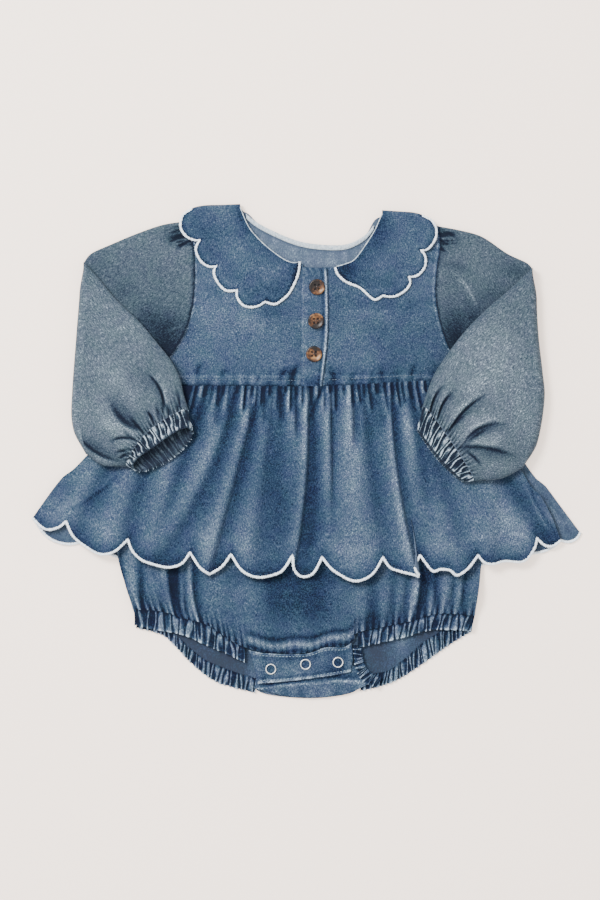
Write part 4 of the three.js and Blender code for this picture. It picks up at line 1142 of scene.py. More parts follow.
def buildPeplum():
    base, edge = hemLine(peplum["front hem"])
    plan, last = peplumPlan(base, edge, curve(*peplum["front left"]), curve(*peplum["front right"]))

    def frontRelief(u, v, x, y):
        return 0.35 * drift(x, y, 13, 2.0) + 0.12 * drift(x, y, 5, 1.0)

    rows = np.concatenate([np.linspace(0, 0.8, 60), np.linspace(0.81, 1, 22)])
    outer = layPanel(
        "peplum_front", plan, topOf(peplumFrontLie), last, rows, denim, frontRelief,
        peplumShade(edge, True), gain=0.4,
    )
    normal = gridNormals(outer)
    middle = outer[:, 0] - normal[:, 0] * cloth / 2
    sewLines("peplum_front_edging", [(middle, normal[:, 0])], edging, edgingThread)

    leftEdge, rightEdge = curve(*peplum["back left"]), curve(*peplum["back right"])
    base, edge = scallopLine(leftEdge(0.0), peplum["back hem"], 26)
    plan, last = peplumPlan(base, edge, leftEdge, rightEdge)

    def backRelief(u, v, x, y):
        return 0.25 * drift(x, y, 11) * smooth(v, 0, 0.1)

    outer = layPanel(
        "peplum_back", plan, lambda x, y: cloth + 0 * x, last, 32, denim, backRelief,
        peplumShade(edge, False), gain=0.5, reverse=0.4, reverseInside=0,
    )
    normal = gridNormals(outer)
    middle = outer[:, 0] - normal[:, 0] * cloth / 2 + np.array([0, 0, 0.35])
    sewLines("peplum_back_edging", [(middle, normal[:, 0])], edging, edgingThread)


# Painted shade and highlights in the folds, the shade of the gathers above the leg bands, a painted
# highlight with shade lines above the tab, and darker or paler patches
def bottomShade(u, v, x, y):
    folds = 1.2 * foldField(bottomFall(x, y), x, bottom["folds"])[1]
    down = v * bottom["length"]  # from the leg openings up
    up = down + 1.1 * np.sin(x / 5.5)
    aboveTab = smooth(46 - np.abs(x + 5), 0, 6)
    reach = 6 + 3 * np.sin(u * 41) * np.sin(u * 17 + 1)
    ribs = 1.1 * (ribWave(u * bottom["ribs"]) - 0.45) * np.exp(-down / reach) * (1 - 0.75 * aboveTab)
    tab = 0.75 * hump(up - 6, 2.4) - 0.9 * hump(up - 0.8, 1.6)
    tab = tab - 0.7 * hump(up - 11, 1.7)
    tab = tab * aboveTab
    return folds + ribs + tab + patchField(x, y, bottom["patches"]) + 0.14 * drift(x, y, 14, 3.0)


# The inside of the back, seen in shadow through the leg openings
def bottomBackShade(u, v, x, y):
    openings = mix(-1.0, -0.65, smooth(x, -50, 50)) * smooth(np.abs(x), 40, 52)
    return openings + patchField(x, y, bottom["back patches"]) + 0.12 * drift(x, y, 12, 3.0)


def buildBottom():
    belowWaist = moved(waist, 0, -seam)
    plan = coons(
        curve(*bottom["front edge"]),
        belowWaist,
        curve(*reversed(bottom["left"])),
        curve(*reversed(bottom["right"])),
    )

    def relief(u, v, x, y):
        ribs = 0.6 * ribWave(u * bottom["ribs"]) * np.exp(-v * bottom["length"] / 6)
        return ribs + 0.3 * drift(x, y, 10, 1.5) * smooth(v, 0, 0.05)

    rows = np.concatenate([np.linspace(0, 0.09, 18), np.linspace(0.098, 0.42, 50), np.linspace(0.46, 1, 7)])
    layPanel(
        "bottom_front", tuckedUnder(plan), topOf(bottomFrontLie), 280, rows, denim, relief, bottomShade,
        gain=0.35, cells=9,
    )
    plan = coons(
        curve(*bottom["back edge"]),
        belowWaist,
        curve([-136.8, -133], *reversed(bottom["left"][:-1])),
        curve([134, -134], *reversed(bottom["right"][:-1])),
    )
    rows = np.concatenate([np.linspace(0, 0.3, 34), np.linspace(0.34, 1, 7)])

    def backRelief(u, v, x, y):
        ribs = 0.3 * ribWave(u * bottom["back ribs"]) * np.exp(-v * bottom["back length"] / 9)
        return 0.3 * drift(x, y, 9, 0.8) + ribs

    layPanel(
        "bottom_back", tuckedUnder(plan), topOf(bottomBackLie), 170, rows, denim, backRelief,
        bottomBackShade, gain=0.5, reverse=0.35, reverseInside=0,
    )


buildPeplum()
buildBottom()
print("peplum and bottom laid")

# Leg bands, drawn up by elastic
legBands = {
    "leg_band_front_left": {
        "lower": [
            [-137.7, -139.4], [-124.8, -142.2], [-99, -147], [-79.6, -155.6], [-63.6, -162.4], [-49.4, -169],
        ],
        "upper": [
            [-138.4, -127.6], [-116.4, -129.2], [-96.6, -135.2], [-79.6, -140.1], [-61.2, -152.4],
            [-50, -157.6],
        ],
        "ribs": 17,
        "lie": bottomFrontBase,
    },
    "leg_band_front_right": {
        "lower": [[40.6, -157.3], [60.1, -153.1], [81.2, -148], [102, -143], [131.5, -143.6]],
        "upper": [[41.4, -146.2], [60.1, -142], [82.6, -137.2], [106.8, -131.1], [134.6, -132.8]],
        "ribs": 20,
        "lie": bottomFrontBase,
    },
    "leg_band_back_left": {
        "lower": [
            [-136.4, -141.5], [-116.4, -147], [-106.4, -155], [-91.8, -170.5], [-74.8, -183.6],
            [-59.9, -189.2],
            [-41, -193.6],
        ],
        "upper": [
            [-136.8, -132.6], [-117, -140.9], [-104.4, -148.2], [-93.1, -158.6], [-80.9, -168],
            [-67.3, -173.9],
            [-53.4, -178.9], [-40, -182.6],
        ],
        "ribs": 27,
        "lie": 0,
    },
    "leg_band_back_right": {
        "lower": [
            [43, -192.2], [56, -189.4], [71.4, -184], [86.8, -175], [102, -164], [117.2, -153.6],
            [132.4, -144.2],
        ],
        "upper": [
            [44, -180.4], [56, -178.6], [67.6, -175.4], [81.1, -165], [93.8, -153.8],
            [112, -142.8], [134, -133.4],
        ],
        "ribs": 28,
        "lie": 0,
    },
    # The end of the right band, turned up beside the tab
    "leg_band_return": {
        "lower": [[37.5, -154.5], [38.2, -166], [40.2, -176.5], [46.5, -185], [56.5, -189.4]],
        "upper": [[43.6, -156.4], [44.8, -166], [47.4, -173], [52.6, -178.6], [60.2, -181.6]],
        "ribs": 11,
        "lie": 2.9,
    },
}


bandWidth = 12


def buildLegBand(name, band):
    lower, upper, ribs = curve(*band["lower"]), curve(*band["upper"]), band["ribs"]
    u = np.linspace(0, 1, ribs * 11 + 1)[:, None]
    v = np.linspace(0, 1, 13)[None, :]
    bow = 0.2 * np.sin(v * 2.6 + 5 * np.sin(u * 23)) + 0.16 * np.sin(np.pi * v) * np.sin(u * 61)
    wave = ribWave(u * ribs + bow)
    crest = 0.5 + 0.5 * np.clip(wave, -1, 1)
    hang = -1.1 * np.sqrt(crest) * (1 - v) ** 2 + 0.5
    sway = 0.25 * np.sin(u * ribs * 2.2 + v * 3)
    flat = mix(lower(u), upper(u), v[..., None])
    tangent = np.gradient(flat, axis=0)
    tangent = tangent / np.linalg.norm(tangent, axis=2, keepdims=True)
    outward = np.stack([tangent[..., 1], -tangent[..., 0]], -1)
    flat = flat + outward * -hang[..., None] + tangent * sway[..., None]
    profile = 0.35 + 0.65 * np.sin(np.pi * np.clip(0.12 + 0.8 * v, 0, 1))
    z = band["lie"] + cloth + 1.6 * crest**1.3 * profile - 0.5 * np.exp(-v * bandWidth / 1.2)
    outer = np.dstack([flat, np.broadcast_to(z, u.shape[:1] + v.shape[1:])])
    inner = outer.copy()
    inner[..., 2] = band["lie"] + 0.5 * (z - band["lie"] - cloth)
    # Pale on the rib crests from wear, dark in the grooves as unfaded cloth and painted shade, a pale lower
    # lip and a dark line along the casing seam
    loops = crest**1.5 - 0.35 * np.clip((wave - 0.6) / 0.4, 0, 1) * smooth(v, 0, 0.3)
    lip, seamLine = 0.6 * hump(v * bandWidth, 1.2), 0.8 * hump((1 - v) * bandWidth, 1.3)
    washAndShading = 2.6 * loops - 1.25 + lip - seamLine
    wallMesh(name, outer, inner, denim, washAndShading=np.broadcast_to(washAndShading, z.shape))


for name, band in legBands.items():
    buildLegBand(name, band)
print("leg bands gathered")

# Crotch tabs and snaps
tab = {
    "length": 82,
    "width": 24,
    "back lower": [[-42, -190], [-13.2, -196.6], [10.8, -197.2], [34.8, -193.6], [50, -186]],
    "back upper": [[-38, -170], [-1, -172], [34, -168]],
    "front lower": [[-38.8, -186.4], [-11, -184], [19.2, -180], [35.6, -176.8]],
    "front upper": [
        [-46.4, -159.4], [-31.6, -162], [-1.2, -162.4], [14.8, -157.4], [29.2, -157.2], [36.2, -153.6],
    ],
    "front left": [[-38.8, -186.4], [-42, -173], [-46.4, -159.4]],
    "front right": [[35.6, -176.8], [37.2, -164.8], [36.2, -153.6]],
    "snaps": [[-28.6, -174.6], [-0.8, -170.8], [25.2, -169.2]],
}


def buildTabs():
    plan = coons(
        curve(*tab["back lower"]),
        curve(*tab["back upper"]),
        curve([-42, -190], [-38, -170]),
        curve([50, -186], [34, -168]),
    )
    # A pale line of painted highlight along the tab's lower edge and a line of painted shade above it, as
    # creaseField takes them
    edges = [
        [-46, -191.4, 14, -185, 0.6, 0.9, 0.9, 0], [8, -185.4, 52, -186.4, 1.6, 0.9, 0.9, 0],
        [-44, -188.8, 12, -182.6, 0.6, 1.7, -1.1, 0], [8, -182.8, 44, -180.6, 1, 1.7, -1.1, 0],
    ]

    def backShade(u, v, x, y):
        return creaseField(x, y, edges) + 0.1 * drift(x, y, 8) + 0.05

    def backRelief(u, v, x, y):
        return 0.35 * drift(x, y, 5) + 0.3 * np.sin(x / 2.2) * np.exp(-v * 20 / 5)

    def backLie(x, y):
        return 2.75 + 0 * x

    layPanel("crotch_tab_back", plan, backLie, 70, 16, denim, backRelief, backShade, gain=0.8)
    plan = coons(
        curve(*tab["front lower"]),
        curve(*tab["front upper"]),
        curve(*tab["front left"]),
        curve(*tab["front right"]),
    )

    def relief(u, v, x, y):
        across, down = u * tab["length"], v * tab["width"]
        ends = np.exp(-across / 0.6) + np.exp(-(tab["length"] - across) / 0.6)
        rolled = -0.6 * (np.exp(-down / 0.6) + ends)
        ridge = 0.35 * hump(down - 1.2, 1.1) - 0.25 * hump(down - 2.8, 0.7)
        edges = np.exp(-down / 4) + np.exp(-(tab["width"] - down) / 3)
        pucker = 0.3 * np.sin(x / 2.4 + np.sin(x / 5)) * edges
        return 0.4 + rolled + ridge + pucker + 0.25 * drift(x, y, 6)

    # Painted highlights on the rolled edges, painted shade just inside them and in the puckers, and darker
    # cloth inside each snap ring
    def shade(u, v, x, y):
        snaps = patchField(x, y, [[atX, atY, 3.4, 3.4, -0.4] for atX, atY in tab["snaps"]])
        low, high = v * tab["width"], (1 - v) * tab["width"]  # away from the lower and the upper edge
        pale = 0.8 * hump(low, 1.3) + 0.5 * hump(high, 1.2)
        dark = -0.35 * hump(low - 4, 1.6) - 0.35 * hump(high - 4, 2)
        pucker = 0.3 * np.sin(x / 2.1 + 2 * np.sin(x / 7)) * (np.exp(-low / 5) + np.exp(-high / 5))
        return pale + dark + snaps + pucker + 0.34 * drift(x, y, 7)

    def frontLie(x, y):
        return bottomFrontBase + cloth + 0 * x

    outer = layPanel("crotch_tab_front", plan, frontLie, 100, 32, denim, relief, shade, gain=0.8, cells=4)
    normal = gridNormals(outer)
    rows = [(outer[4:-4, k] + np.array([0, 0, 0.1]), normal[4:-4, k]) for k in (3, 29)]
    sewLines("tab_stitches", rows, topstitch, paleThread)


def lathe(profile, segments):
    angle = np.linspace(0, 2 * np.pi, segments, endpoint=False)[None, :]
    radius, height = (np.array(profile)[:, k][:, None] for k in (0, 1))
    high = np.broadcast_to(height, (len(profile), segments))
    return np.dstack([radius * np.cos(angle), radius * np.sin(angle), high])


def ringMesh(name, grid, material, closed):
    n, m = grid.shape[:2]
    index = np.arange(n * m).reshape(n, m)
    index = np.concatenate([index, index[:, :1]], axis=1)
    if closed:
        index = np.concatenate([index, index[:1]], axis=0)
    faces = np.stack([index[:-1, :-1], index[1:, :-1], index[1:, 1:], index[:-1, 1:]], -1)
    faces = faces.reshape(-1, 4).tolist()
    if not closed:
        faces += [index[0, :-1].tolist(), index[-1, :-1][::-1].tolist()]
    mesh = bpy.data.meshes.new(name)
    mesh.from_pydata((grid.reshape(-1, 3) * mm).tolist(), [], faces)
    mesh.shade_smooth()
    mesh.set_sharp_from_angle(angle=math.radians(50))
    return addObject(name, mesh, material)


def buildSnaps():
    turn = np.linspace(0, 2 * np.pi, 16, endpoint=False)
    for k, (x, y) in enumerate(tab["snaps"]):
        profile = np.stack([3.85 - 0.45 * np.cos(turn), 0.55 + 0.5 * np.sin(turn)], -1)
        grid = lathe(profile, 48) + np.array([x, y, bottomFrontBase + cloth + gap + 0.2])
        ringMesh(f"snap_{k + 1}", grid, snapMetal, closed=True)


buildTabs()
buildSnaps()
print("tabs and snaps set")

# Buttons: dished discs with four holes, sewn on with dark thread
button = {
    "centres": [[8.4, 131.2], [7.6, 104], [6, 77.6]],
    "profile": [
        [0.02, 0], [5.4, 0], [5.9, 0.2], [6.25, 0.7], [6.35, 1.2], [6.3, 1.8], [6.05, 2.3],
        [5.6, 2.58], [5.2, 2.52],
        [4.85, 2.3], [4.4, 2.05], [3.8, 1.93], [2.5, 1.9], [0.02, 1.9],
    ],
    "hole": 0.8,
    "pitch": 1.5,
}


def buildButtons():
    for k, (x, y) in enumerate(button["centres"]):
        ring = np.radians(np.arange(0, 360, 60))
        seat = placketTopLie(x + 6.35 * np.cos(ring), y + 6.35 * np.sin(ring)).max() + gap / 2
        place = np.array([x, y, seat])
        turned = lathe(button["profile"], 64)[::-1] + place
        disc = ringMesh(f"button_{k + 1}", turned, tortoiseshell, closed=False)
        for side, (dx, dy) in enumerate([(1, 1), (1, -1), (-1, 1), (-1, -1)]):
            spot = place + np.array([dx, dy, 0]) * button["pitch"]
            pin = lathe([[button["hole"], 4], [button["hole"], -1]], 20) + spot
            drill = ringMesh(f"drill_{k}_{side}", pin, None, closed=False)
            cutHole = disc.modifiers.new("hole", "BOOLEAN")
            cutHole.operation, cutHole.solver, cutHole.object = "DIFFERENCE", "EXACT", drill
        settle(disc)
        for side in range(4):
            drill = pieces.pop(f"drill_{k}_{side}")
            bpy.data.objects.remove(drill)
        rows = []
        for dx in (-1, 1):
            t = np.linspace(-1, 1, 9)[:, None]
            arch = np.concatenate([t * 0 + dx, t * 1.05, 1.15 + 0.5 * (1 - t**4)], axis=1)
            spread = np.array([button["pitch"], button["pitch"], 1.0])
            rows.append((place + arch * spread, np.array([0, 0, 1.0])))
        look = {
            "Pitch": 0.45, "Length": 0.9, "Width": 0.75, "Height": 0.6, "Turn": 20, "Uneven": 8, "Seed": k,
        }
        sewLines(f"button_thread_{k + 1}", rows, look, buttonThread)


buildButtons()
print("buttons sewn on")

# Sleeves: a flattened tube from the armhole out to the elbow crease, round it and back to the cuff
sleeves = {
    "left": {
        "outward": [-1, 0],
        "towards hand": [0.66, -0.75],
        "crease": [
            [-176, -2.5], [-182, 23], [-181.4, 48], [-178.4, 88], [-176, 125], [-176.8, 142], [-178.2, 151],
        ],
        "top edge": [
            [-96.5, 184], [-114.8, 181.3], [-135.2, 174.4], [-155.8, 165.8], [-172.4, 158.2], [-178.2, 151],
        ],
        "under edge": [[-123.6, 67], [-150, 39], [-176, -2.5]],
        "fold edge": [
            [-178.2, 151], [-167.6, 139.6], [-152.1, 121], [-134.2, 104], [-119.2, 86.2], [-108.2, 72.4],
            [-101.4, 59], [-98.4, 46], [-94.5, 33],
        ],
        "low edge": [[-176, -2.5], [-162.3, -11.6], [-144, -12]],
        "cuff seam": [[-144, -12], [-134, 2.6], [-127.4, 10], [-115.6, 20], [-103.5, 27.8], [-94.5, 33]],
        "cuff start": [
            [-143.4, -12.6], [-133.4, 2], [-126.8, 9.4], [-115, 19.4], [-102.9, 27.2], [-93.9, 32.4],
        ],
        "mouth": [[-138.6, -14.6], [-113.6, 0.4], [-91.6, 18]],
        "seam lean": 5,
        "mouth lean": 9.5,
        "mouth half": 6.2,
        "rise": 2.4,
        # Creases that show: two ends, bow, half width, depth, step
        "creases": [
            [-127, 62, -115.6, 26, 6, 1.1, -1.9, 0.5], [-104, 50, -103, 31, 2, 1.0, -1.5, 0.3],
            [-157, 40, -130, 16, -5, 2.4, -1.4, -0.7], [-128, 32, -122, 22, 1, 1.0, -1.9, 0],
            [-156, 8, -138, 9, 2, 1.1, -1.7, 0], [-150, -6, -143, -2, 0, 1.0, -1.5, 0],
            [-186, 16, -147, -9, -5, 1.3, -1.8, -0.7], [-141, 27, -130, 14, 0, 1.0, -1.4, 0],
            [-113, 38, -109, 27, 1, 1.0, -1.6, 0], [-146, 17, -136, 8, -1, 1.0, -1.2, 0],
            [-152, -1, -142, 1, 0, 1.0, -1.4, 0], [-120, 36, -117, 26, 0, 0.9, -1.2, 0],
            [-160, 66, -130, 30, 3, 8, 0.7, 0], [-166, 30, -144, 12, -3, 5, 0.6, 0],
            [-112, 95, -101, 100, 0, 1.2, 0.8, 0],
            [-109, 167.5, -95.5, 172.5, 1, 1.2, -2.4, 0], [-103.5, 161.5, -92.8, 168, 1, 1.2, -2.4, 0],
            [-112, 174, -97, 176.5, 0, 1, -1.6, 0],
        ],
        # Darker or paler patches of the upper arm under the fold, and of the forearm
        "shadows": [
            [-112, 82, 13, 22, -1.3], [-128, 104, 12, 12, -0.6], [-148, 128, 10, 8, -0.3],
            [-106, 100, 12, 8, -0.3],
            [-130, 150, 20, 14, 0.05], [-104, 172, 10, 6, -0.5],
        ],
        "patches": [
            [-160, 60, 16, 30, 0.1], [-140, 30, 20, 14, -0.12], [-166, 4, 14, 8, -0.2],
            [-118, 40, 12, 20, 0.06],
            [-142, -8, 10, 8, -0.15], [-178, 20, 6, 20, 0.05],
        ],
    },
    "right": {
        "outward": [1, 0],
        "towards hand": [-0.68, -0.73],
        "crease": [
            [172, -14], [180, 10], [184.4, 42], [182.8, 63], [179.8, 89.6], [178.6, 116], [179.6, 138],
            [180.6, 146.4],
        ],
        "top edge": [[105.5, 180], [122, 177], [140.7, 171.6], [160.4, 158.4], [176, 151], [180.6, 146.4]],
        "under edge": [[129.2, 70], [152, 38], [172, -14]],
        "fold edge": [
            [180.6, 146.4], [163, 129.8], [142.4, 112], [124.8, 93.6], [111.6, 76], [101, 59.2], [93, 36],
        ],
        "low edge": [[172, -14], [155.2, -22.4], [133.8, -24]],
        "cuff seam": [[133.8, -24], [113.5, 6], [93, 36]],
        "cuff start": [[133, -24.6], [112.7, 5.2], [92.4, 35]],
        "mouth": [[125.5, -25], [107, -7.5], [88.2, 17.5]],
        "seam lean": 4,
        "mouth lean": 1.6,
        "mouth half": 3.1,
        "rise": 2.2,
        "creases": [
            [109, 52, 99, 26, -3, 1.0, -1.9, -0.5], [118, 48, 105, 24, -3, 1.0, -1.8, -0.5],
            [142, 44, 115, 17, -3, 1.1, -1.9, -0.6], [158, 22, 124, 4, -6, 1.2, -1.5, -0.8],
            [122, 3, 166, -4, 3, 1.5, -1.6, 0.6], [127, 0, 140, -12, 1, 1.0, -1.3, 0],
            [128, 30, 110, 12, -1, 1.2, -1.2, 0], [146, 18, 128, 6, -1, 1.2, -1.0, 0],
            [100, 46, 94, 28, -1, 1.2, -1.2, 0],
            [148, 62, 122, 36, -3, 8, 0.7, 0], [160, 12, 136, 1, 0, 5, 0.6, 0],
            [119, 143, 137, 113, 2, 1.2, 0.9, 0], [108, 150, 132, 142, 2, 3, -0.5, 0],
            [107, 176.5, 121, 170.5, 1, 1.2, -2.4, 0], [105.5, 165, 111.5, 159, 0, 1.1, -2.2, 0],
            [105.5, 170, 113, 165, 0, 1, -1.8, 0],
        ],
        "shadows": [
            [120, 88, 12, 18, -1.4], [134, 108, 10, 10, -0.5], [150, 124, 10, 8, -0.3],
            [114, 108, 10, 10, -0.25],
            [166, 144, 8, 5, -0.35], [112, 168, 8, 8, -0.25], [132, 152, 14, 10, 0.08],
        ],
        "patches": [
            [150, 70, 24, 30, 0.24], [152, 3, 16, 5, -0.25], [158, -14, 16, 5, 0.12],
            [172, 40, 10, 30, 0.2], [140, 24, 12, 12, 0.16], [120, 26, 12, 12, 0.1],
        ],
    },
}
half = 3  # of the flattened tube's height
turnRadius = 3.3  # of the tube's middle round the crease
axisZ = half + turnRadius
cuffRibs = 36
armLength = 80  # of the upper arm, and of the forearm
cuffLength = 18
halfRound = 75  # half way round a sleeve or a cuff


# Points of a flattened oval, evenly spaced round it, with ribs standing out of it
def oval(width, height, count, rib=0.0, ribHeight=0.0):
    angle = np.linspace(0, 2 * np.pi, 721)
    c, s = np.cos(angle), np.sin(angle)
    x = (width / 2 - ribHeight) * np.sign(c) * np.abs(c) ** 0.8
    z = (height / 2 - ribHeight) * np.sign(s) * np.abs(s) ** 0.8
    share = np.concatenate([[0], np.cumsum(np.hypot(np.diff(x), np.diff(z)))])
    at = np.arange(count) / count
    ring = np.stack([np.interp(at * share[-1], share, x), np.interp(at * share[-1], share, z)], -1)
    ahead = np.roll(ring, -1, axis=0) - np.roll(ring, 1, axis=0)
    outward = np.stack([ahead[:, 1], -ahead[:, 0]], -1) / np.linalg.norm(ahead, axis=1, keepdims=True)
    return ring + outward * np.broadcast_to(rib, count)[:, None] * ribHeight


def buildSleeve(side, sleeve, armhole):
    drawn = ("crease", "top edge", "under edge", "fold edge", "low edge", "cuff seam", "cuff start")
    lines = {part: curve(*sleeve[part]) for part in drawn}
    mouth = curve(*sleeve["mouth"])
    outwards, towardsHand = np.array(sleeve["outward"]), np.array(sleeve["towards hand"])
    crease, cuffStart = lines["crease"], lines["cuff start"]
    upperArm = coons(lines["under edge"], lines["top edge"], armhole, crease)
    forearm = coons(lines["low edge"], lines["fold edge"], crease, lines["cuff seam"])
    cuff = coons(
        curve(cuffStart(0.0), mouth(0.0)), curve(cuffStart(1.0), mouth(1.0)), cuffStart, mouth,
    )

    def ringAt(part, along, count, wall, rib=0.0, ribHeight=0.0):
        patch = {"upper": upperArm, "turn": lambda a, b: crease(b), "fore": forearm, "cuff": cuff}[part]
        ends = [patch(np.array(float(along)), np.array(end)) for end in (0.0, 1.0)]
        width = np.hypot(*(ends[1] - ends[0]))
        halfHere = mix(half, sleeve["mouth half"], along) if part == "cuff" else half
        ring = oval(width - 2 * wall, 2 * (halfHere - wall), count, rib, ribHeight)
        across, lift = 0.5 + ring[:, 0] / width, ring[:, 1]
        if part == "turn":
            angle = math.radians(along)
            radius = turnRadius - lift
            bulge = radius * math.sin(angle) * smooth(across, -0.05, 0.13) * smooth(1 - across, -0.04, 0.16)
            flat = crease(across) + outwards * bulge[:, None]
            return np.column_stack([flat, axisZ - radius * math.cos(angle)]), lift
        flat = patch(np.full(count, float(along)), across)
        if part == "upper":
            return np.column_stack([flat, half + lift]), lift
        if part == "fore":
            lean = sleeve["seam lean"] * smooth(along, 0.5, 1) * lift / half
            height = axisZ + turnRadius + sleeve["rise"] * smooth(along, 0, 0.7) - lift
        else:
            lean = mix(sleeve["seam lean"], sleeve["mouth lean"], along) * lift / halfHere
            height = axisZ + turnRadius + sleeve["rise"] - half + halfHere - lift
        return np.column_stack([flat + towardsHand * lean[:, None], height]), lift

    stations = [("upper", a) for a in np.linspace(0, 1, 40, endpoint=False) ** 1.3]
    stations += [("turn", a) for a in np.linspace(0, 180, 9)]
    stations += [("fore", a) for a in np.linspace(0.02, 1, 52)]
    count = 200
    part = np.array([name for name, _ in stations])[:, None]
    along = np.array([a for _, a in stations])[:, None]

    def tube(wall):
        rings = [ringAt(name, a, count, wall) for name, a in stations]
        grid = np.array([ring for ring, _ in rings])
        lift = np.array([lifted for _, lifted in rings]) / (half - wall)
        x, y = grid[..., 0], grid[..., 1]
        up = (part == "upper") * smooth(lift, 0.1, 0.8)
        over = (part == "fore") * smooth(-lift, 0.1, 0.8)
        across = np.broadcast_to(np.abs(np.linspace(-1, 1, count, endpoint=False))[None], lift.shape)
        cap = smooth(y, 158, 172) * (1 - smooth(along, 0.05, 0.3)) * (part == "upper")
        pleats = -np.maximum(0, np.sin(y * 1.5 + 2 * np.sin(y * 0.6) - along * 8 * outwards[0])) * cap
        folds = creaseField(x, y, sleeve["creases"])
        soft = 0.45 * drift(x, y, 15, 0.6) + 0.15 * drift(x, y, 6, 1.9)
        ribs = 0.7 * (ribWave(across * cuffRibs * 0.7) - 0.2) * (part == "fore")
        ribs = ribs * np.exp(-np.abs(1 - along) * armLength / 6)
        puff = 0.9 * smooth(along, 0.05, 0.5) * (part == "fore")
        change = up * (0.9 * pleats + 0.6 * folds + soft) + over * (folds + soft + ribs + puff)
        # The tone paints shade in the cap's pleats, the creases and the grooves of the ribs, and highlights
        # on the raised creases
        dark, pale = np.minimum(folds, 0), np.maximum(folds, 0)
        tone = up * (1.7 * pleats + 0.6 * dark + 0.6 * pale)
        tone = tone + over * (0.85 * dark + 0.25 * pale + 1.4 * np.minimum(ribs, 0))
        grid[..., 2] += change
        return grid, change, tone, over

    outer, change, tone, over = tube(0)
    inner = tube(cloth)[0]
    x, y = outer[..., 0], outer[..., 1]
    # The forearm's top and the rounded turn at the crease are painted paler: painted light where they face
    # the lamp, over the faded cloth
    paleForearmAndTurn = 0.2 * over + 0.24 * (part == "turn")
    washAndShading = washAndShadingOf(change, 5, 0.35) + tone + paleForearmAndTurn + 0.1 * drift(x, y, 16)
    shadows, spots = (patchField(x, y, sleeve[rows]) for rows in ("shadows", "patches"))
    patches = np.where(part == "upper", shadows, spots)
    # A line of painted shade along the armhole seam
    washAndShading = washAndShading + patches - 1.1 * (part == "upper") * hump(along * armLength, 1.3)
    lengths = np.concatenate([[0], np.cumsum(np.linalg.norm(np.diff(outer.mean(axis=1), axis=0), axis=1))])
    around = np.linspace(-1, 1, count) * halfRound
    uv = np.dstack(np.broadcast_arrays(around[None, :], lengths[:, None]))
    # The inside of the tube is painted darker, as in shade
    wallMesh(f"sleeve_{side}", outer, inner, fadedDenim, ring=True, uv=uv, washAndShading=washAndShading, washAndShadingInside=-0.3)

    count = cuffRibs * 10
    place = np.arange(count) / 10
    steps = np.linspace(0, 1, 14)
    outer, inner, crests = [], [], []
    for a in steps:
        squeeze = 1 - 0.35 * math.exp(-(((a - 0.55) / 0.16) ** 2))
        rib = 0.5 + 0.5 * ribWave(place + 0.24 * np.sin(4.5 * a + 3 * np.sin(1.7 * place)))
        crests.append(rib)
        outer.append(ringAt("cuff", a, count, 0.0, rib * squeeze, 0.95)[0])
        inner.append(ringAt("cuff", a, count, cloth + 0.2, rib * squeeze, 0.6)[0])
    outer, inner, rib = np.array(outer), np.array(inner), np.array(crests)
    down = steps[:, None]
    # Pale rib crests and dark grooves, partly wear and partly painted shade; painted shade beside the seam;
    # a dark line across the middle; paler at the mouth; the inside painted in shade
    washAndShading = 3.0 * rib**1.9 - 1.25 - 0.9 * hump(down * 14, 2) * (1 - rib)
    washAndShading = washAndShading - 0.35 * hump(down - 0.5, 0.08) + 0.3 * hump((1 - down) * 14, 1.5)
    around = np.linspace(-halfRound, halfRound, count)
    uv = np.dstack(np.broadcast_arrays(around[None, :], down * cuffLength))
    wallMesh(
        f"cuff_{side}", outer, inner, fadedDenim, ring=True, uv=uv, washAndShading=washAndShading,
        washAndShadingInside=1.5 * rib**2 - 1.35, reverseInside=0.1,
    )


buildSleeve("left", sleeves["left"], armholeLeft)
buildSleeve("right", sleeves["right"], armholeRight)
print("sleeves folded over")

# Topstitches on the bodice


def bodiceStitches():
    front = topOf(bodiceFrontLie)
    up = np.array([0, 0, 1.0])

    def onFront(x, y, top, relief):
        flat = [np.asarray(x, float), np.asarray(y, float)]
        return np.stack([*flat, top(*flat) + relief(*flat) + 0.05], -1)

    def waistRelief(x, y):
        return bodiceRelief(None, None, x, y)

    def alongPlacket(x, y):
        u = (x - bodice["placket left"]) / bodice["placket width"]
        return placketRelief(u, None, x, y)

    rows = []
    for start, end in ((-96, -6.4), (18.4, 96)):
        x = np.linspace(start, end, 120)
        waistHere = np.interp(x, waist(waistShare)[:, 0], waist(waistShare)[:, 1])
        rows.append((onFront(x, waistHere + bodice["stitch line"] - waistY, front, waistRelief), up))
    sewLines("waist_stitches", rows, topstitch, seamThread)
    y = np.linspace(54, 145, 120)
    rows = [(onFront(0 * y - 2.2, y, placketTopLie, alongPlacket), up)]
    sewLines("placket_stitches", rows, topstitch, seamThread)


bodiceStitches()
print("topstitches sewn")

# What each piece stands for, and the cut of the cloth that shows

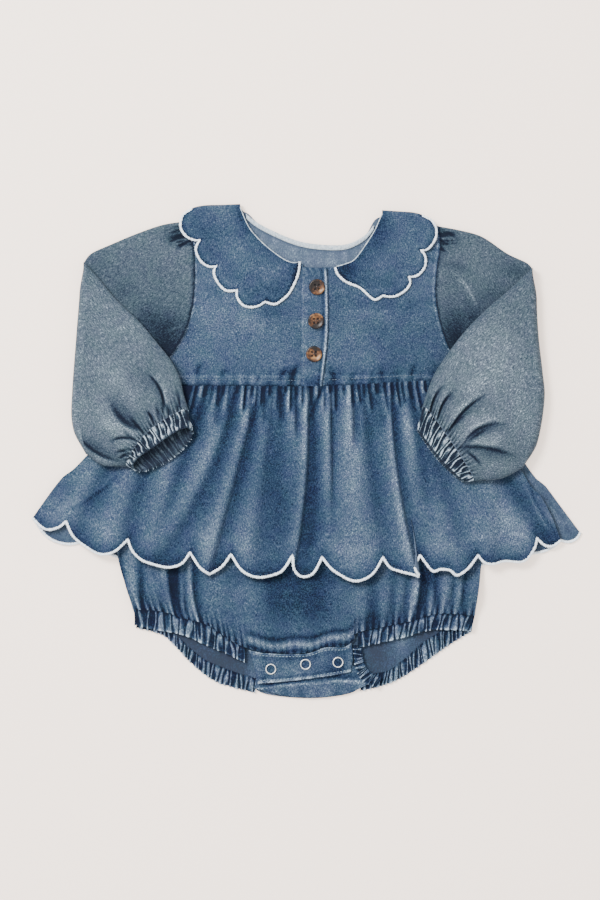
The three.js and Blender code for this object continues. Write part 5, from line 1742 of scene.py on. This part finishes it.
sheets = {
    "back_bodice": [(0.262, 0.144), "laid", ["peplum_back"], 0.027],
    "front_bodice_left": [(0.124, 0.142), "laid", ["back_bodice"], 0.0125],
    "front_bodice_right": [(0.139, 0.138), "laid", ["back_bodice"], 0.0140],
    "placket": [(0.022, 0.096), "laid", ["front_bodice_right"], None],
    "neck_binding": [(0.125, 0.010), "laid", ["back_bodice"], 0.0004],
    "collar_left": [(0.30, 0.052), "folded", ["front_bodice_left", "back_bodice"], 0.0092],
    "collar_right": [(0.26, 0.052), "folded", ["front_bodice_right", "back_bodice"], 0.0078],
    "peplum_front": [(0.50, 0.150), "gathered", ["bottom_front", "peplum_back"], 0.068],
    "peplum_back": [(0.44, 0.140), "laid", [], 0.056],
    "bottom_front": [(0.30, 0.215), "gathered", ["bottom_back"], None],
    "bottom_back": [(0.30, 0.250), "laid", ["peplum_back"], 0.070],
    "leg_band_front_left": [(0.120, 0.0135), "gathered", ["leg_band_back_left"], None],
    "leg_band_front_right": [(0.115, 0.0125), "gathered", ["leg_band_back_right"], None],
    "leg_band_back_left": [(0.108, 0.0105), "gathered", [], None],
    "leg_band_back_right": [(0.108, 0.0115), "gathered", [], None],
    "leg_band_return": [(0.048, 0.010), "gathered", ["bottom_back"], None],
    "crotch_tab_back": [(0.092, 0.024), "laid", ["bottom_back"], None],
    "crotch_tab_front": [(0.084, 0.026), "laid", ["crotch_tab_back"], None],
    "sleeve_left": [(0.24, 0.26), "folded", ["front_bodice_left", "peplum_front"], 0.050],
    "sleeve_right": [(0.24, 0.26), "folded", ["front_bodice_right", "peplum_front"], 0.048],
    "cuff_left": [(0.16, 0.018), "gathered", ["peplum_front"], 0.0024],
    "cuff_right": [(0.15, 0.018), "gathered", ["peplum_front"], 0.0021],
}
slots = {
    "faded_denim": ["sleeve_left", "sleeve_right", "cuff_left", "cuff_right"],
    "white_cotton": [
        "neck_binding", "collar_left_edging", "collar_right_edging", "peplum_front_edging",
        "peplum_back_edging", "collar_left_piping", "collar_right_piping",
    ],
    "tortoiseshell": ["button_1", "button_2", "button_3"],
    "snap_metal": ["snap_1", "snap_2", "snap_3"],
}
trimOnly = {"leg_band_return"}  # has no node of its own
cadNodes = {*sheets, *slots["tortoiseshell"], *slots["snap_metal"]} - trimOnly
for name, piece in pieces.items():
    if name in cadNodes:
        piece.name = f"{name}_dressed"
        piece.data.name = piece.name
        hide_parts(name)
    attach(piece, "root")

# Stage

stage = {
    "floor": srgb(240, 223, 210),
    "sky": srgb(255, 254, 252),
    "sky strength": 1.9,
    "key": {"place": (-1.3, 1.2, 2.0), "size": 0.9, "power": 145},
    "floor glow": 1.0,
    "distance": 4.0,
    "frame height": 0.72,
    "frame centre": (-0.0052, 0.0008),
}


def buildStage():
    floorMesh = bpy.data.meshes.new("floor")
    reach, level = 6, -0.0002  # just under the cloth
    corners = [(-reach, -reach), (reach, -reach), (reach, reach), (-reach, reach)]
    floorMesh.from_pydata([(*corner, level) for corner in corners], [], [(0, 1, 2, 3)])
    floor = bpy.data.objects.new("floor", floorMesh)
    bpy.context.scene.collection.objects.link(floor)
    paper, _, shader = newMaterial("floor_paper", Roughness=0.95, Specular_IOR_Level=0.1)
    shader.inputs["Base Color"].default_value = stage["floor"]
    shader.inputs["Emission Color"].default_value = stage["floor"]
    shader.inputs["Emission Strength"].default_value = stage["floor glow"]
    floorMesh.materials.append(paper)
    world = bpy.data.worlds.new("studio")
    world.use_nodes = True
    sky = world.node_tree.nodes["Background"].inputs
    sky["Color"].default_value = stage["sky"]
    sky["Strength"].default_value = stage["sky strength"]
    bpy.context.scene.world = world
    key = stage["key"]
    light = bpy.data.lights.new("key", "AREA")
    light.size, light.energy = key["size"], key["power"]
    lamp = bpy.data.objects.new("key", light)
    lamp.location = key["place"]
    x, y, z = key["place"]
    lamp.rotation_euler = (math.atan2(math.hypot(x, y), z), 0, math.atan2(x, -y))
    bpy.context.scene.collection.objects.link(lamp)
    lens = bpy.data.cameras.new("camera")
    lens.sensor_fit = "VERTICAL"
    lens.sensor_height = 36
    lens.lens = lens.sensor_height * stage["distance"] / stage["frame height"]
    lens.clip_end = 50
    camera = bpy.data.objects.new("camera", lens)
    camera.location = (*stage["frame centre"], stage["distance"] + 0.008)
    bpy.context.scene.collection.objects.link(camera)
    bpy.context.scene.camera = camera


buildStage()
print("stage set")
